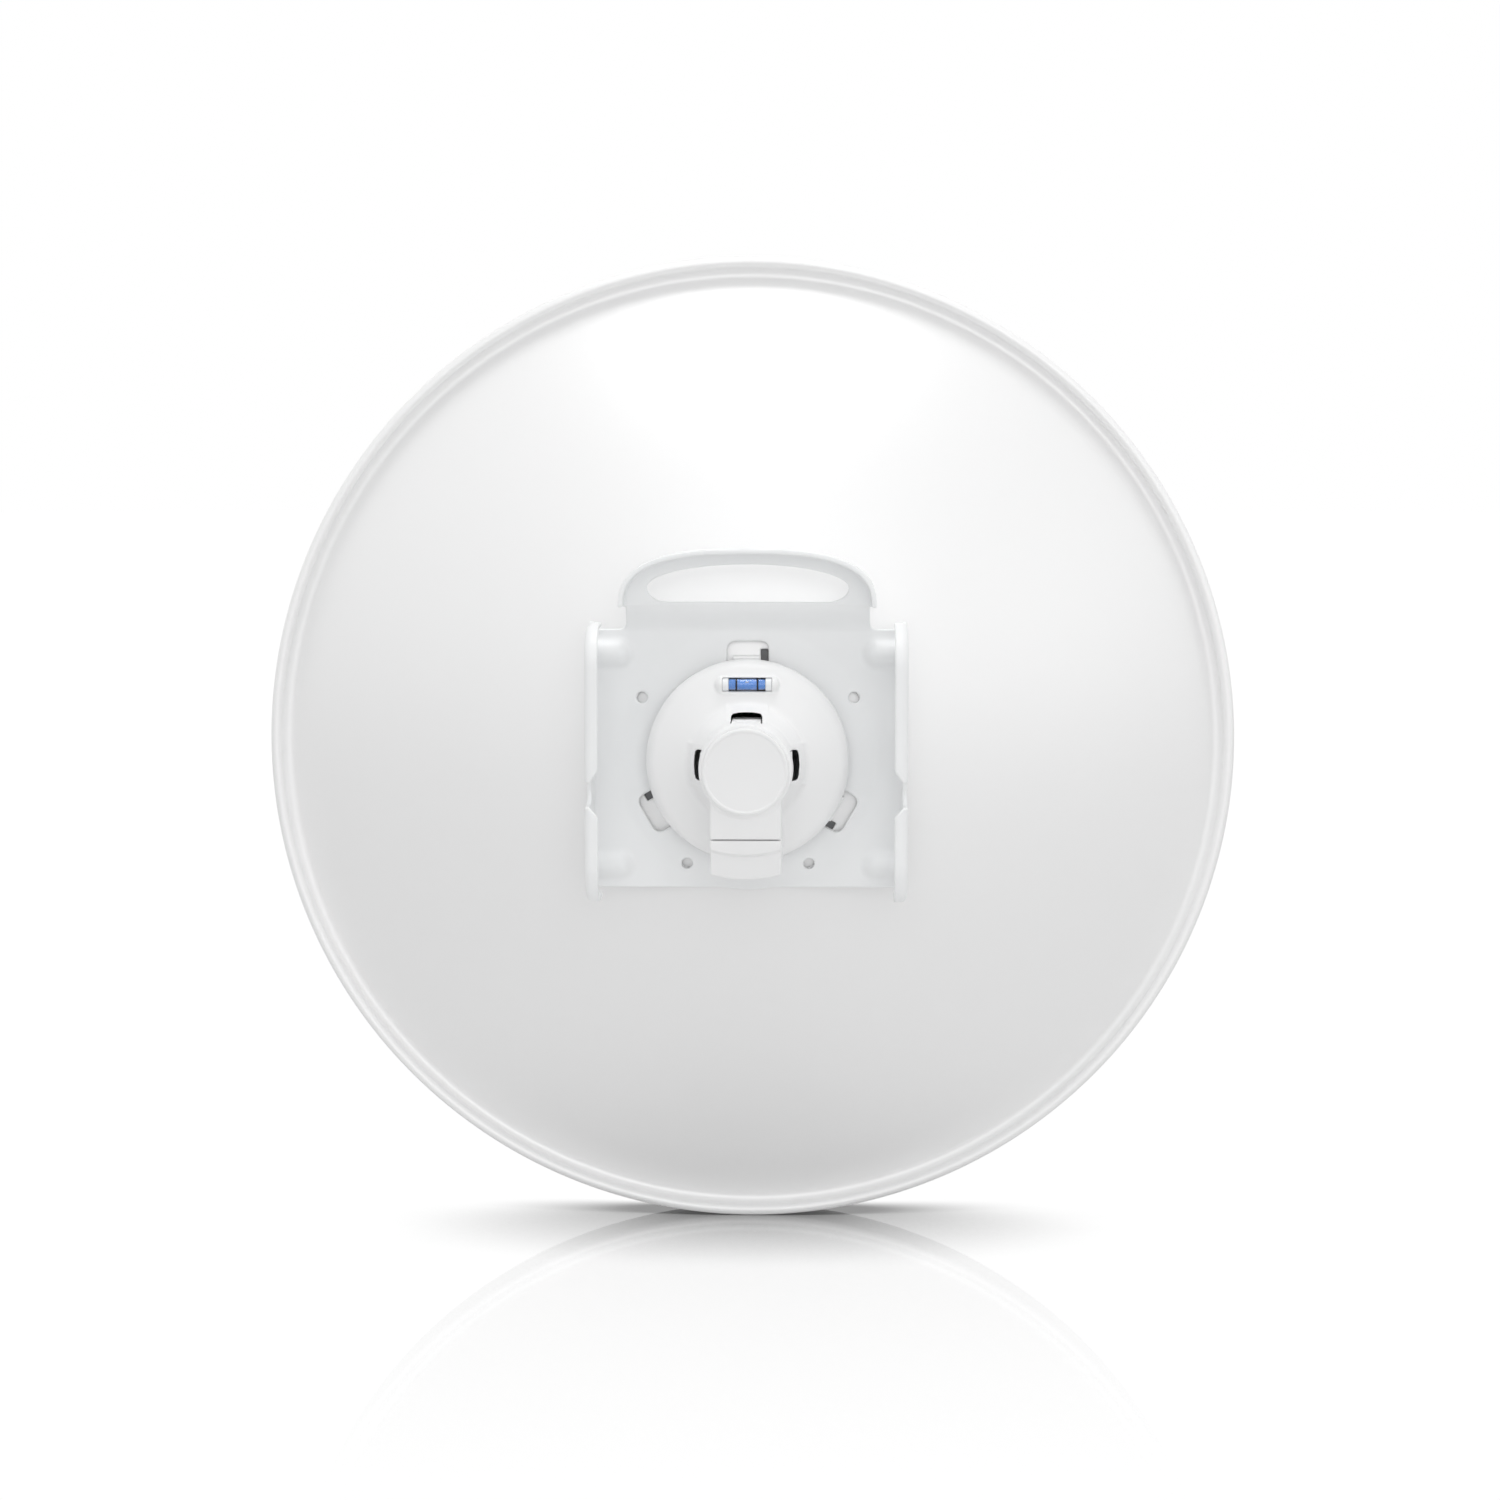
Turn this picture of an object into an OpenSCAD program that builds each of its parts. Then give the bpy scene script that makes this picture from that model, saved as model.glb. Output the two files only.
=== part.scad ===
// Dish radio for an outdoor wireless bridge: a spun steel reflector, a pressed bracket with side
// flanges and a carrying handle, and a radio that plugs through both from behind.
//
// Frame: +Y is the boresight, the way the dish looks; +Z is up; +X is to the right seen from behind.
// The origin is the tilt axis: the centre of the two flange notches, midway between the flanges.
// Inside the modules, positions are counted from the vertex of the reflector on the boresight, and
// place() carries them to the frame above. A depth is a distance behind the vertex, along -Y.

/* [Reflector] */
// Diameter over the rim
dish_d = 420; // [400:1:440]
// Depth of the bowl, from its vertex to the fold of the rim if the bowl ran on
dish_depth = 80; // [79:0.5:82]
// Thickness of the reflector sheet
dish_t = 1.2; // [1:0.1:1.5]
// Depth of the rim skirt, from its back fold to its front bead
rim_depth = 22; // [16:1:26]
// Radius of the hole in the hub, which the radio passes
hub_hole_r = 35.5; // [35.5:0.1:36]

/* [Bracket] */
// Thickness of the bracket sheet
bracket_t = 2; // [1.8:0.1:2.2]
// Width over the side flanges
bracket_w = 132; // [128:1:136]
// Lower edge of the plate, below the boresight
plate_low = 54.4; // [54:0.1:55]
// Shoulders of the plate, above the boresight
plate_high = 54; // [53:0.5:55]
// Rear edge of the flanges, behind the vertex
flange_back = 35; // [34:0.5:38]
// Half height of the flanges
flange_hh = 57.2; // [56:0.2:60]
// Width of the inward lip round each flange
lip_w = 5.5; // [4:0.5:6]
// Radius of the tilt notches, for an M8 bolt with a 10 mm shoulder
notch_r = 5; // [4.5:0.1:5.5]
// Radius of the arc slots round the tilt axis
arc_r = 34; // [32:1:36]
// Width of the arc slots, for an M8 bolt
arc_w = 8.6; // [8.4:0.1:9]
// Half of the tilt range that the arc slots allow, in degrees
arc_half = 14; // [10:1:14]

/* [Handle] */
// Half width of the handle
handle_hw = 53.2; // [52:0.2:54]
// Top of the handle, above the boresight
handle_top = 88; // [86:0.5:90]
// How far the joggle below the handle sets it back
handle_set = 6.2; // [5.5:0.1:7]
// Depth of the lip round the handle
handle_lip = 12; // [8:0.5:14]

/* [Radio] */
// Radius of the dome at its base
dome_r = 42; // [41.5:0.1:42.5]
// Wall of the dome and neck
wall = 2; // [1.8:0.1:2.1]
// Rear end of the neck, behind the vertex
neck_end = 47; // [46.8:0.1:47.2]
// Radius of the round rear cap
cap_r = 17.8; // [17.5:0.1:18]
// Rear face of the rear cap, behind the vertex
cap_back = 52; // [51:0.5:53]
// Radius of the feed tube
tube_r = 21; // [20.5:0.1:21.5]
// Tip of the feed, in front of the vertex
feed_tip = 178; // [176:0.5:180]
// Radius of the feed cap, which has to pass the hub
feed_cap_r = 34.5; // [33.5:0.1:34.5]

/* [Cable chute] */
// Half width of the chute
chute_hw = 14.5; // [14.3:0.1:14.8]
// Rear face of the chute, behind the vertex
chute_back = 46.6; // [46.4:0.1:46.8]
// Seam between the chute and the sliding cover, below the boresight
chute_seam = 28.2; // [28:0.1:28.5]
// Lower end of the sliding cover, below the boresight
cover_low = 45.4; // [45:0.1:46]

/* [Level] */
// Height of the spirit level above the boresight
level_z = 32.4; // [32:0.1:33]
// Radius of the level's glass tube
vial_r = 2.7; // [2.6:0.05:2.8]
// Length of the level's glass tube with its end caps
vial_l = 20.4; // [20:0.2:21]
// Distance between the two marks on the level
mark_gap = 8.7; // [8:0.1:9]

/* [Hidden] */
$fn = 96;
eps = 0.01;

// Place of the tilt axis, from the vertex of the reflector.
pivot_y = -22;
pivot_z = -11.5;

// Reflector, from its driving dimensions.
rim_gap = 1.8;
valley_r = 4.5;
bead_r = 1.5;
skirt_r = dish_d / 2 - dish_t / 2;
fold_r = skirt_r - rim_gap;
focal = pow(fold_r, 2) / (4 * dish_depth);
rim_slope = atan(fold_r / (2 * focal));
bowl_r = fold_r - valley_r - valley_r * sin(rim_slope);
valley_y = bowl_y(bowl_r) - valley_r * cos(rim_slope);
fold_y = valley_y - 2.3;
bowl_steps = 24;

// Bayonet between the reflector and the bracket.
slot_hw = 8.6;
slot_out = 49;
lug_left = -6.1;
lug_right = 5.3;
lug_out = 42.9;
lug_in = 38;
lug_y = -0.4;
foot_left = -11.3;
relief_out = 45.5;
relief_right = 8.5;

// Bracket, from its driving dimensions.
plate_front = 4.5;
plate_back = plate_front - bracket_t;
cone_r = 54.3;
bracket_hole_r = 36.5;
cone_drop = 2.8;
fix_hole_r = 2.25;
fix_pitch_r = 51;
neck_hw = 50.6;
shoulder_round = 3;
corner_r = 16;
arc_mid = -11;
arc_ends = [arc_mid - arc_half, arc_mid + arc_half];
gusset_r = 5.5;
gusset_tip = 48.4;
gusset_z = [43.9, -45.1];
joggle_z = 53;
joggle_top = 65.2;
joggle_a = 2 * atan(handle_set / (joggle_top - joggle_z));
joggle_r = handle_set / (2 * (1 - cos(joggle_a)));
neck_low = joggle_z - 5;
arch_z = 64;
arch_power = 2.7;
opening_hw = 41.9;
opening_mid = 71.5;
opening_low = 65.5;
opening_top = 81.3;
opening_corner = 9;

// Radio, from its driving dimensions.
dome_front = 2.8;
shoulder_d = 8;
shoulder_r = 5;
shoulder_a = 72;
cone_end_r = 26;
turn_r = 5;
neck_start = 28;
neck_mid_r = 18.7;
neck_end_r = 17.9;
neck_in = neck_end_r - wall / 2;
pad_hw = 8.8;
window_hw = 6.4;
window_out = 22;
window_root = 36.6;
tab_hw = 6;
tab_in = 16.5;
tab_out = 18.7;
tab_tip = 14;
base_back = 6;
base_r = 39.4;
seal_r = 0.75;
spigot_r = 32.6;
spigot_wall = 2.2;
tube_wall = 2;
tube_in = tube_r - tube_wall;
tube_front = 150;
screw_r = 35.4;
screw_angles = [30, 150, 270];

// Cable chute and its sliding cover.
rail_t = 1.4;
rail_back = -38;
chute_in = chute_hw - rail_t;
chute_top = -10;
floor_t = 1.8;
floor_z = -chute_seam + floor_t;
bay_front = 14;
cover_gap = 0.3;
cover_hw = chute_in - cover_gap;
cover_face_hw = chute_hw - 0.1;
cover_t = 1.8;

// Main board and what it carries.
board_x = 7.4;
board_t = 1.6;
board_hh = 13;
board_back = -43;
board_end = 136;
board_screw_y = [58, 108];
jack_size = [13.6, 16, 21];
jack_at = [board_x - jack_size[0], -41, -27.4];
reset_at = [11, -35];

// Feed.
flare_start = 143;
flare_end = 163;
shell_t = 1.8;
cap_edge = 170;
vial_d = 15.6;
vial_wall = 0.5;
cradle_r = 3.4;
cradle_l = 26.3;

function bowl_y(r) = r * r / (4 * focal) + dish_t / 2;

// Points on an arc about [cx, cy], from angle a0 to angle a1.
function arc(cx, cy, r, a0, a1, n = 8) =
    [for (i = [0:n]) let (a = a0 + (a1 - a0) * i / n) [cx + r * cos(a), cy + r * sin(a)]];

// Unit normal, to the right of a path, at its point i.
function path_normal(p, i) =
    let (a = p[max(i - 1, 0)], b = p[min(i + 1, len(p) - 1)], d = b - a)
    [d[1], -d[0]] / norm(d);

// A path moved sideways by s.
function beside(p, s) = [for (i = [0:len(p) - 1]) p[i] + s * path_normal(p, i)];

function backwards(p) = [for (i = [len(p) - 1:-1:0]) p[i]];

// Outline of a sheet of thickness t along a path.
function sheet(p, t) = concat(beside(p, t / 2), backwards(beside(p, -t / 2)));

// Upper half of a superellipse, from its right end to its left end.
function arch(a, b, power, n = 40) =
    [for (i = [0:n]) let (w = 180 * i / n, c = cos(w), s = sin(w))
        [a * sign(c) * pow(abs(c), 2 / power), b * pow(max(s, 0), 2 / power)]];

module place() translate([0, -pivot_y, -pivot_z]) children();

// A shape drawn as seen from behind, x to the right and y up, is raised towards the back from y0.
module behind(y0) translate([0, y0, 0]) rotate([90, 0, 0]) children();

// A body of revolution whose profile is drawn as [radius, y].
module spun(points) rotate([-90, 0, 0]) rotate_extrude($fn = 180) polygon(points);

// A body of revolution whose profile is drawn as [radius, depth].
module turned(points) rotate([90, 0, 0]) rotate_extrude($fn = 128) polygon(points);

// A side profile drawn as [y, z], given a width from x0 to x1.
module across(x0, x1) translate([x0, 0, 0])
    rotate([90, 0, 90]) linear_extrude(x1 - x0) children();

module block(x, y, z) translate([x[0], y[0], z[0]])
    cube([x[1] - x[0], y[1] - y[0], z[1] - z[0]]);

module both_sides() {
    children();
    mirror([1, 0, 0]) children();
}

// Turns a feature at the top of the boresight to each of the given angles.
module around(angles) for (a = angles) rotate([0, a, 0]) children();

// ---- Reflector ----

module reflector_dish() color("whitesmoke") {
    bowl = [for (i = [0:bowl_steps])
        let (r = hub_hole_r + (bowl_r - hub_hole_r) * i / bowl_steps) [r, bowl_y(r)]];
    path = concat(
        bowl,
        arc(fold_r - valley_r, valley_y, valley_r, 90 + rim_slope - 12, 0, 7),
        arc(fold_r + rim_gap / 2, fold_y, rim_gap / 2, 180, 360, 8),
        arc(skirt_r - bead_r, fold_y + rim_depth - bead_r, bead_r, 0, 180, 8));
    difference() {
        spun(sheet(path, dish_t));
        around([0, 120, 240])
            block([lug_right, relief_right], [-5, 12], [hub_hole_r + 1, relief_out]);
    }
    around([0, 120, 240]) bayonet_lug();
}

// A hook lanced out of the hub: a riser, a tab above the bracket, and a foot that turns over it.
module bayonet_lug() {
    block([lug_left, lug_right], [lug_y - dish_t, 3.6], [lug_out - dish_t, lug_out]);
    block([lug_left, lug_right], [lug_y - dish_t, lug_y], [lug_in, lug_out]);
    block([foot_left, lug_left + 1], [lug_y - dish_t, lug_y], [lug_in, lug_out - 2]);
}

module hub_gasket() color("dimgray")
    spun([[spigot_r + 0.1, 4.1], [35.7, 3.9], [47, 5.7], [47, 7], [46, 7.7],
        [spigot_r + 1.1, 7.7], [spigot_r + 0.1, 7]]);

// ---- Bracket ----

// Side profile of one flange, as [y, z], inset by i.
module flange_profile(i = 0) {
    r = corner_r - i;
    back = -flange_back + i;
    polygon(concat(
        [[plate_front, flange_hh - i]],
        arc(back + r, flange_hh - i - r, r, 90, 180, 10),
        arc(back + r, -flange_hh + i + r, r, 180, 270, 10),
        [[plate_front, -flange_hh + i]]));
}

// The arc slot for the locking bolt, as [y, z].
module arc_slot() translate([pivot_y, pivot_z]) {
    a = 90 + arc_ends[0];
    b = 90 + arc_ends[1];
    polygon(concat(
        arc(0, 0, arc_r + arc_w / 2, a, b, 14),
        arc(arc_r * cos(b), arc_r * sin(b), arc_w / 2, b + 15, b + 165, 10),
        arc(0, 0, arc_r - arc_w / 2, b, a, 14),
        arc(arc_r * cos(a), arc_r * sin(a), arc_w / 2, a + 195, a + 345, 10)));
}

module flange() {
    out = bracket_w / 2;
    difference() {
        union() {
            across(out - bracket_t, out) flange_profile();
            across(out - lip_w, out) difference() {
                flange_profile();
                flange_profile(bracket_t);
                translate([-4, -100]) square([20, 200]);
            }
        }
        across(out - lip_w - 1, out + 1) {
            translate([pivot_y, pivot_z]) circle(notch_r);
            translate([-flange_back - 1, pivot_z - notch_r])
                square([flange_back + 1 + pivot_y, 2 * notch_r]);
        }
        across(out - bracket_t - 1, out + 1) arc_slot();
        behind(-flange_back + 3) linear_extrude(10)
            polygon([[out - lip_w - 1, pivot_z + notch_r + 6.2], [out - bracket_t, pivot_z + notch_r],
                [out - bracket_t, pivot_z - notch_r], [out - lip_w - 1, pivot_z - notch_r - 5.2]]);
    }
}

// A pressed stiffening bump where the plate meets a flange: half of a round-ended bar.
module gusset(z) intersection() {
    translate([gusset_tip + gusset_r, plate_back + 1.5, z]) rotate([0, 90, 0])
        rotate_extrude($fn = 64) polygon(concat(
            [[0, bracket_w / 2 - bracket_t - gusset_tip - gusset_r + 0.5]],
            [[gusset_r, bracket_w / 2 - bracket_t - gusset_tip - gusset_r + 0.5]],
            arc(0, 0, gusset_r, 0, -80, 8), [[0, -gusset_r]]));
    block([0, bracket_w / 2 - bracket_t / 2], [-20, plate_front - 0.3], [z - 10, z + 10]);
}

// The sheet seen from the side above the plate: up, set back by the joggle, and up again.
module handle_sheet(rise) {
    r = joggle_r;
    lower = arc(plate_back - r, joggle_z, r, 0, joggle_a, 8);
    upper = arc(plate_back - handle_set + r, joggle_top, r, 180 + joggle_a, 180, 8);
    path = concat([[plate_back, neck_low]], lower, upper, [[plate_back - handle_set, handle_top]]);
    polygon(concat(path, backwards([for (i = [0:len(path) - 1])
        path[i] + (i == 0 || i == len(path) - 1 ? [rise, 0] : rise * path_normal(path, i))])));
}

// Outline of the handle and its neck, as seen from behind, inset by i.
module handle_outline(i = 0) {
    translate([0, arch_z]) polygon(arch(handle_hw - i, handle_top - arch_z - i, arch_power));
    translate([-neck_hw, neck_low]) square([2 * neck_hw, arch_z - neck_low + eps]);
}

module handle_opening() {
    drop = opening_mid - opening_low;
    flat = opening_hw - opening_corner;
    corner = [for (w = [0:10:90]) [flat + opening_corner * cos(w), opening_mid - drop * sin(w)]];
    polygon(concat(
        [for (w = [180:-6:0]) [opening_hw * cos(w), opening_mid + (opening_top - opening_mid) * sin(w)]],
        corner, backwards([for (p = corner) [-p[0], p[1]]])));
}

module handle() {
    lip_back = plate_back - handle_set - handle_lip;
    difference() {
        intersection() {
            across(-handle_hw, handle_hw) handle_sheet(bracket_t);
            behind(20) linear_extrude(60) handle_outline();
        }
        behind(20) linear_extrude(60) handle_opening();
    }
    // Lip round the arch.
    behind(plate_front - handle_set) linear_extrude(handle_lip + bracket_t) difference() {
        translate([0, arch_z]) polygon(arch(handle_hw, handle_top - arch_z, arch_power));
        translate([0, arch_z - 1])
            polygon(arch(handle_hw - bracket_t, handle_top - arch_z - bracket_t + 1, arch_power));
    }
}

module mount_bracket() color("white") difference() {
    union() {
        difference() {
            union() {
                behind(plate_front) linear_extrude(bracket_t)
                    translate([-bracket_w / 2, -plate_low]) square([bracket_w, plate_low + neck_low + 1]);
                both_sides() shoulder();
                handle();
            }
            behind(20) cylinder(r = cone_r, h = 40, $fn = 180);
        }
        spun([[bracket_hole_r, plate_front - cone_drop], [cone_r, plate_front],
            [cone_r + 1.1, plate_front], [cone_r + 1.1, plate_back], [cone_r, plate_back],
            [bracket_hole_r, plate_back - cone_drop]]);
        both_sides() flange();
        both_sides() for (z = gusset_z) gusset(z);
    }
    around([0, 120, 240]) behind(8) linear_extrude(12) bayonet_slot();
    for (a = [30, 150, 240, 300])
        behind(8) translate([fix_pitch_r * cos(a), fix_pitch_r * sin(a), 0])
            cylinder(r = fix_hole_r, h = 12, $fn = 48);
}

// The part of the plate beside the neck, with a rounded inner corner.
module shoulder() behind(plate_front) linear_extrude(bracket_t) difference() {
    translate([neck_hw - 1, neck_low])
        square([bracket_w / 2 - neck_hw + 1, plate_high - neck_low + shoulder_round]);
    translate([neck_hw + shoulder_round, plate_high + shoulder_round]) circle(shoulder_round);
    translate([neck_hw + shoulder_round, plate_high]) square([30, 10]);
}

module bayonet_slot() {
    corner = 3.4;
    translate([-slot_hw, 30]) square([2 * slot_hw, slot_out - corner - 30]);
    translate([-slot_hw + corner, 30]) square([2 * (slot_hw - corner), slot_out - 30]);
    for (s = [-1, 1]) translate([s * (slot_hw - corner), slot_out - corner]) circle(corner);
}

// ---- Radio housing ----

// Middle of the housing wall, as [radius, depth], from the base of the dome to the end of the neck.
function housing_path() =
    let (base = dome_r - wall / 2,
        lean = 90 - shoulder_a,
        shoulder = arc(base - shoulder_r, shoulder_d, shoulder_r, 0, shoulder_a, 8),
        last = shoulder[8],
        foot = [cone_end_r, last[1] + (last[0] - cone_end_r) * tan(lean)],
        turn = arc(foot[0] + turn_r * sin(lean), foot[1] + turn_r * cos(lean), turn_r,
            -90 - lean, -172, 6))
    concat([[base, dome_front]], shoulder, turn, [[neck_mid_r, neck_start], [neck_end_r, neck_end]]);

module housing_outside() turned(concat(
    [[0, dome_front]], beside(housing_path(), wall / 2), [[0, neck_end]]));

module housing_inside() {
    inner = beside(housing_path(), -wall / 2);
    turned(concat([[0, dome_front - 1], [inner[0][0], dome_front - 1]], inner,
        [[inner[len(inner) - 1][0], neck_end + 1], [0, neck_end + 1]]));
}

// A raised pad with a window that opens to the rear, at the foot of the neck.
module window_pad() across(-pad_hw, pad_hw)
    polygon([[-9, 13], [-13, 26.2], [-15.4, 25.8], [-18.6, 23.6], [-23, 20.6], [-27, 18.6], [-27, 13]]);

module window_cut() block([-window_hw, window_hw], [-window_root, -8], [tab_in - 1.8, window_out]);

module level_cradle() translate([0, -vial_d, level_z]) {
    end = cradle_l / 2 - cradle_r;
    rotate([0, 90, 0]) cylinder(r = cradle_r, h = 2 * end, center = true);
    for (s = [-1, 1]) translate([s * end, 0, 0]) sphere(cradle_r);
}

module level_seat() translate([0, -vial_d, level_z]) {
    half = vial_l / 2 + 0.05;
    rotate([0, 90, 0]) cylinder(r = vial_r + 0.05, h = 2 * half, center = true);
    block([-half, half], [-9, 0], [-vial_r - 0.05, vial_r + 0.05]);
}

// A point of the screw circle, seen from behind.
module at_screw(a) translate([screw_r * cos(a), 0, screw_r * sin(a)]) rotate([90, 0, 0]) children();

module rear_housing() color("white") difference() {
    union() {
        difference() {
            union() {
                housing_outside();
                around([0, 90, -90]) window_pad();
                chute_outside();
            }
            housing_inside();
            around([0, 90, -90]) window_cut();
            block([-chute_in, chute_in], [-chute_back + 1.8, -9], [floor_z, chute_top - 2]);
        }
        level_cradle();
        for (a = screw_angles) at_screw(a) translate([0, 0, base_back + 0.2]) cylinder(r = 2.4, h = 6);
    }
    level_seat();
    for (a = screw_angles) at_screw(a) cylinder(r = 1.3, h = base_back + 5.2, $fn = 32);
    // Bay behind the sliding cover, open below and to the rear.
    block([-chute_in, chute_in], [-60, -bay_front], [-60, -chute_seam]);
    translate(jack_at) translate([-0.3, -0.3, -5]) cube(jack_size + [0.6, 0.6, 0]);
    translate([reset_at[0], reset_at[1], -40]) cylinder(r = 1.5, h = 16, $fn = 48);
    translate([-10.8, reset_at[1], -40]) cylinder(r = 2.1, h = 16, $fn = 48);
}

module chute_outside() {
    block([-chute_hw, chute_hw], [-chute_back, -10], [-chute_seam, chute_top]);
    intersection() {
        block([-chute_hw, chute_hw], [rail_back, -10], [-50, -chute_seam + 1]);
        behind(0) cylinder(r = cover_low - 1.6, h = 60);
    }
}

// ---- Sliding cover of the cable chute ----

module cover_profile(i = 0) polygon(concat(
    [[-chute_back + i, -chute_seam - cover_gap]],
    arc(-chute_back + 3.6, -chute_seam - 3, 3.6 - i, 180, 230, 6),
    [[-chute_back + 4.4 + i, -chute_seam - 9], [-chute_back + 6.2 + i, -50]],
    [[-20, -50], [-20, -chute_seam - cover_gap]]));

module port_cover() color("white") intersection() {
    union() {
        across(-cover_face_hw, cover_face_hw) intersection() {
            difference() {
                cover_profile();
                translate([0, -0.01]) cover_profile(cover_t);
            }
            translate([-60, -60]) square([60 + rail_back - cover_gap, 40]);
        }
        across(-cover_hw, cover_hw) translate([-chute_back + 0.6, -chute_seam - cover_gap - 1.4])
            square([4.4, 1.4]);
        // Sides inside the rails, and ends that close the face in front of them.
        both_sides() across(cover_hw, cover_face_hw) intersection() {
            cover_profile();
            translate([-60, -60]) square([60 + rail_back - cover_gap, 40]);
        }
        both_sides() across(cover_hw - 1.4, cover_hw + 0.01) difference() {
            cover_profile();
            translate([-32, -60]) square([40, 60]);
        }
    }
    behind(0) cylinder(r = cover_low, h = 60);
}

// ---- Rear cap ----

module rear_cap() color("gainsboro") turned([
    [0, neck_end - 3.4], [neck_in - 0.1, neck_end - 3.4], [neck_in - 0.1, neck_end - 2.6],
    [neck_in - 1.7, neck_end - 2.6], [neck_in - 1.7, neck_end - 0.8],
    [neck_in - 0.1, neck_end - 0.8], [neck_in - 0.1, neck_end + 0.02], [cap_r, neck_end + 0.02],
    [cap_r, cap_back - 1], [cap_r - 0.3, cap_back - 0.3], [cap_r - 1, cap_back], [0, cap_back]]);

// A rubber ring of round section about the boresight.
module o_ring(r, minor, y) translate([0, y, 0]) rotate([90, 0, 0])
    rotate_extrude($fn = 128) translate([r, 0]) circle(minor, $fn = 32);

module cap_seal() color("dimgray") o_ring(neck_in - 0.9, 0.75, -neck_end + 1.7);

// ---- Feed tube with its base ----

module feed_tube() color("white") difference() {
    union() {
        spun([[base_r, -base_back], [base_r, -base_back + 0.7], [base_r - 1.2, -base_back + 0.7],
            [base_r - 1.2, -base_back + 2.4], [base_r, -base_back + 2.4], [base_r, -dome_front],
            [spigot_r, -dome_front], [spigot_r, 8], [spigot_r - 1.6, 9.8], [24, 13.4],
            [tube_r, 17.5], [tube_r, 145.2], [tube_in + 0.6, 145.2], [tube_in + 0.6, 146.8],
            [tube_r, 146.8], [tube_r, tube_front], [tube_in, tube_front], [tube_in, 16.6],
            [23, 11.6], [spigot_r - spigot_wall, 8], [spigot_r - spigot_wall, -base_back]]);
        intersection() {
            for (y = board_screw_y) translate([board_x + board_t, y, 0]) rotate([0, 90, 0])
                cylinder(r = 3, h = 12);
            behind(200) cylinder(r = tube_in + 0.5, h = 200);
        }
    }
    for (a = screw_angles) at_screw(a) {
        cylinder(r = 1.5, h = 10, $fn = 32);
        cylinder(r = 2.3, h = dome_front + 1.4, $fn = 32);
    }
    for (y = board_screw_y) translate([board_x, y, 0]) rotate([0, 90, 0])
        cylinder(r = 1.3, h = board_t + 6, $fn = 32);
}

module base_seal() color("dimgray") o_ring(base_r - 0.42, seal_r, -base_back + 1.55);

module housing_screws() color("silver") for (a = screw_angles) at_screw(a) {
    translate([0, 0, dome_front + 0.1]) cylinder(r = 2.1, h = 1.3, $fn = 32);
    translate([0, 0, dome_front + 1.3]) cylinder(r = 1.2, h = 6.6, $fn = 32);
}

// ---- Electronics ----

module main_board() color("darkgreen") difference() {
    across(board_x, board_x + board_t) polygon([[board_back, board_hh], [board_end, board_hh],
        [board_end, -board_hh], [-20, -board_hh], [-20, -24.8], [board_back, -24.8]]);
    for (y = board_screw_y) translate([board_x - 1, y, 0]) rotate([0, 90, 0])
        cylinder(r = 1.5, h = 4, $fn = 32);
}

module board_screws() color("silver") for (y = board_screw_y)
    translate([board_x, y, 0]) rotate([0, 90, 0]) {
        translate([0, 0, -1.6]) cylinder(r = 2.6, h = 1.58, $fn = 32);
        translate([0, 0, -1]) cylinder(r = 1.2, h = board_t + 6, $fn = 32);
    }

module shield_cans() color("silver") for (y = [[0, 24], [28, 52], [66, 98]]) difference() {
    block([board_x - 3.4, board_x - 0.02], y, [-11, 11]);
    block([board_x - 3, board_x + 1], [y[0] + 0.4, y[1] - 0.4], [-10.6, 10.6]);
}

module thermal_pad() color("lightblue")
    block([board_x + board_t + 0.02, board_x + board_t + 1.2], [22, 48], [-9, 9]);

module heat_spreader() color("silver") difference() {
    block([board_x + board_t + 1.22, board_x + board_t + 3.2], [16, 54], [-11, 11]);
    for (z = [-8:4:8]) block([board_x + board_t + 2.2, 20], [15, 55], [z - 1, z + 1]);
}

module ethernet_transformer() color("dimgray") block([board_x - 5.8, board_x - 0.02], [-19, -5], [-12, -1]);

module rj45_jack() color("silver") difference() {
    translate(jack_at) cube(jack_size - [0.02, 0, 0]);
    translate(jack_at) translate([2.6, 2, -1]) cube([9, 12, 16]);
    translate(jack_at) translate([0.9, 5, -1]) cube([3, 6, 12]);
}

module jack_contacts() color("gold") for (i = [0:7])
    translate(jack_at + [10.6, 8 - 3.57 + 1.02 * i - 0.2, 5]) cube([0.8, 0.4, 9.8]);

module jack_gasket() color("dimgray") difference() {
    block([jack_at[0] - 1.6, board_x + 1.6], [jack_at[1] - 1.6, jack_at[1] + 17.6],
        [floor_z + 0.02, floor_z + 1.3]);
    translate([jack_at[0] - 0.05, jack_at[1] - 0.05, -30]) cube([jack_size[0] + 0.1, jack_size[1] + 0.1, 10]);
}

module vent_plug() color("dimgray") translate([-10.8, reset_at[1], -chute_seam - 0.1]) {
    cylinder(r = 2.05, h = floor_t + 0.7, $fn = 48);
}

module reset_switch() color("silver") translate([board_x + board_t + 0.02, reset_at[1] - 3, -21.6]) {
    cube([3.2, 6, 4]);
    translate([1.98, 3, -0.6]) cylinder(r = 0.9, h = 1, $fn = 32);
}

module reset_plunger() color("black") translate([reset_at[0], reset_at[1], 0]) {
    translate([0, 0, -chute_seam - 0.1]) cylinder(r = 1.2, h = 4.7, $fn = 48);
    translate([0, 0, floor_z + 0.3]) cylinder(r = 1.8, h = 0.8, $fn = 48);
}

// ---- Feed ----

module feed_board() color("darkgreen") behind(140.6) cylinder(r = tube_in - 0.4, h = 1.6);

module coax_jumpers() color("black") for (z = [-6, 6]) translate([board_x - 1.8, 0, z]) {
    translate([0, 139, 0]) rotate([90, 0, 0]) cylinder(r = 0.9, h = 12, $fn = 32);
    translate([0, 130, 0]) rotate([90, 0, 0]) cylinder(r = 1.6, h = 5, $fn = 32);
}

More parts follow.
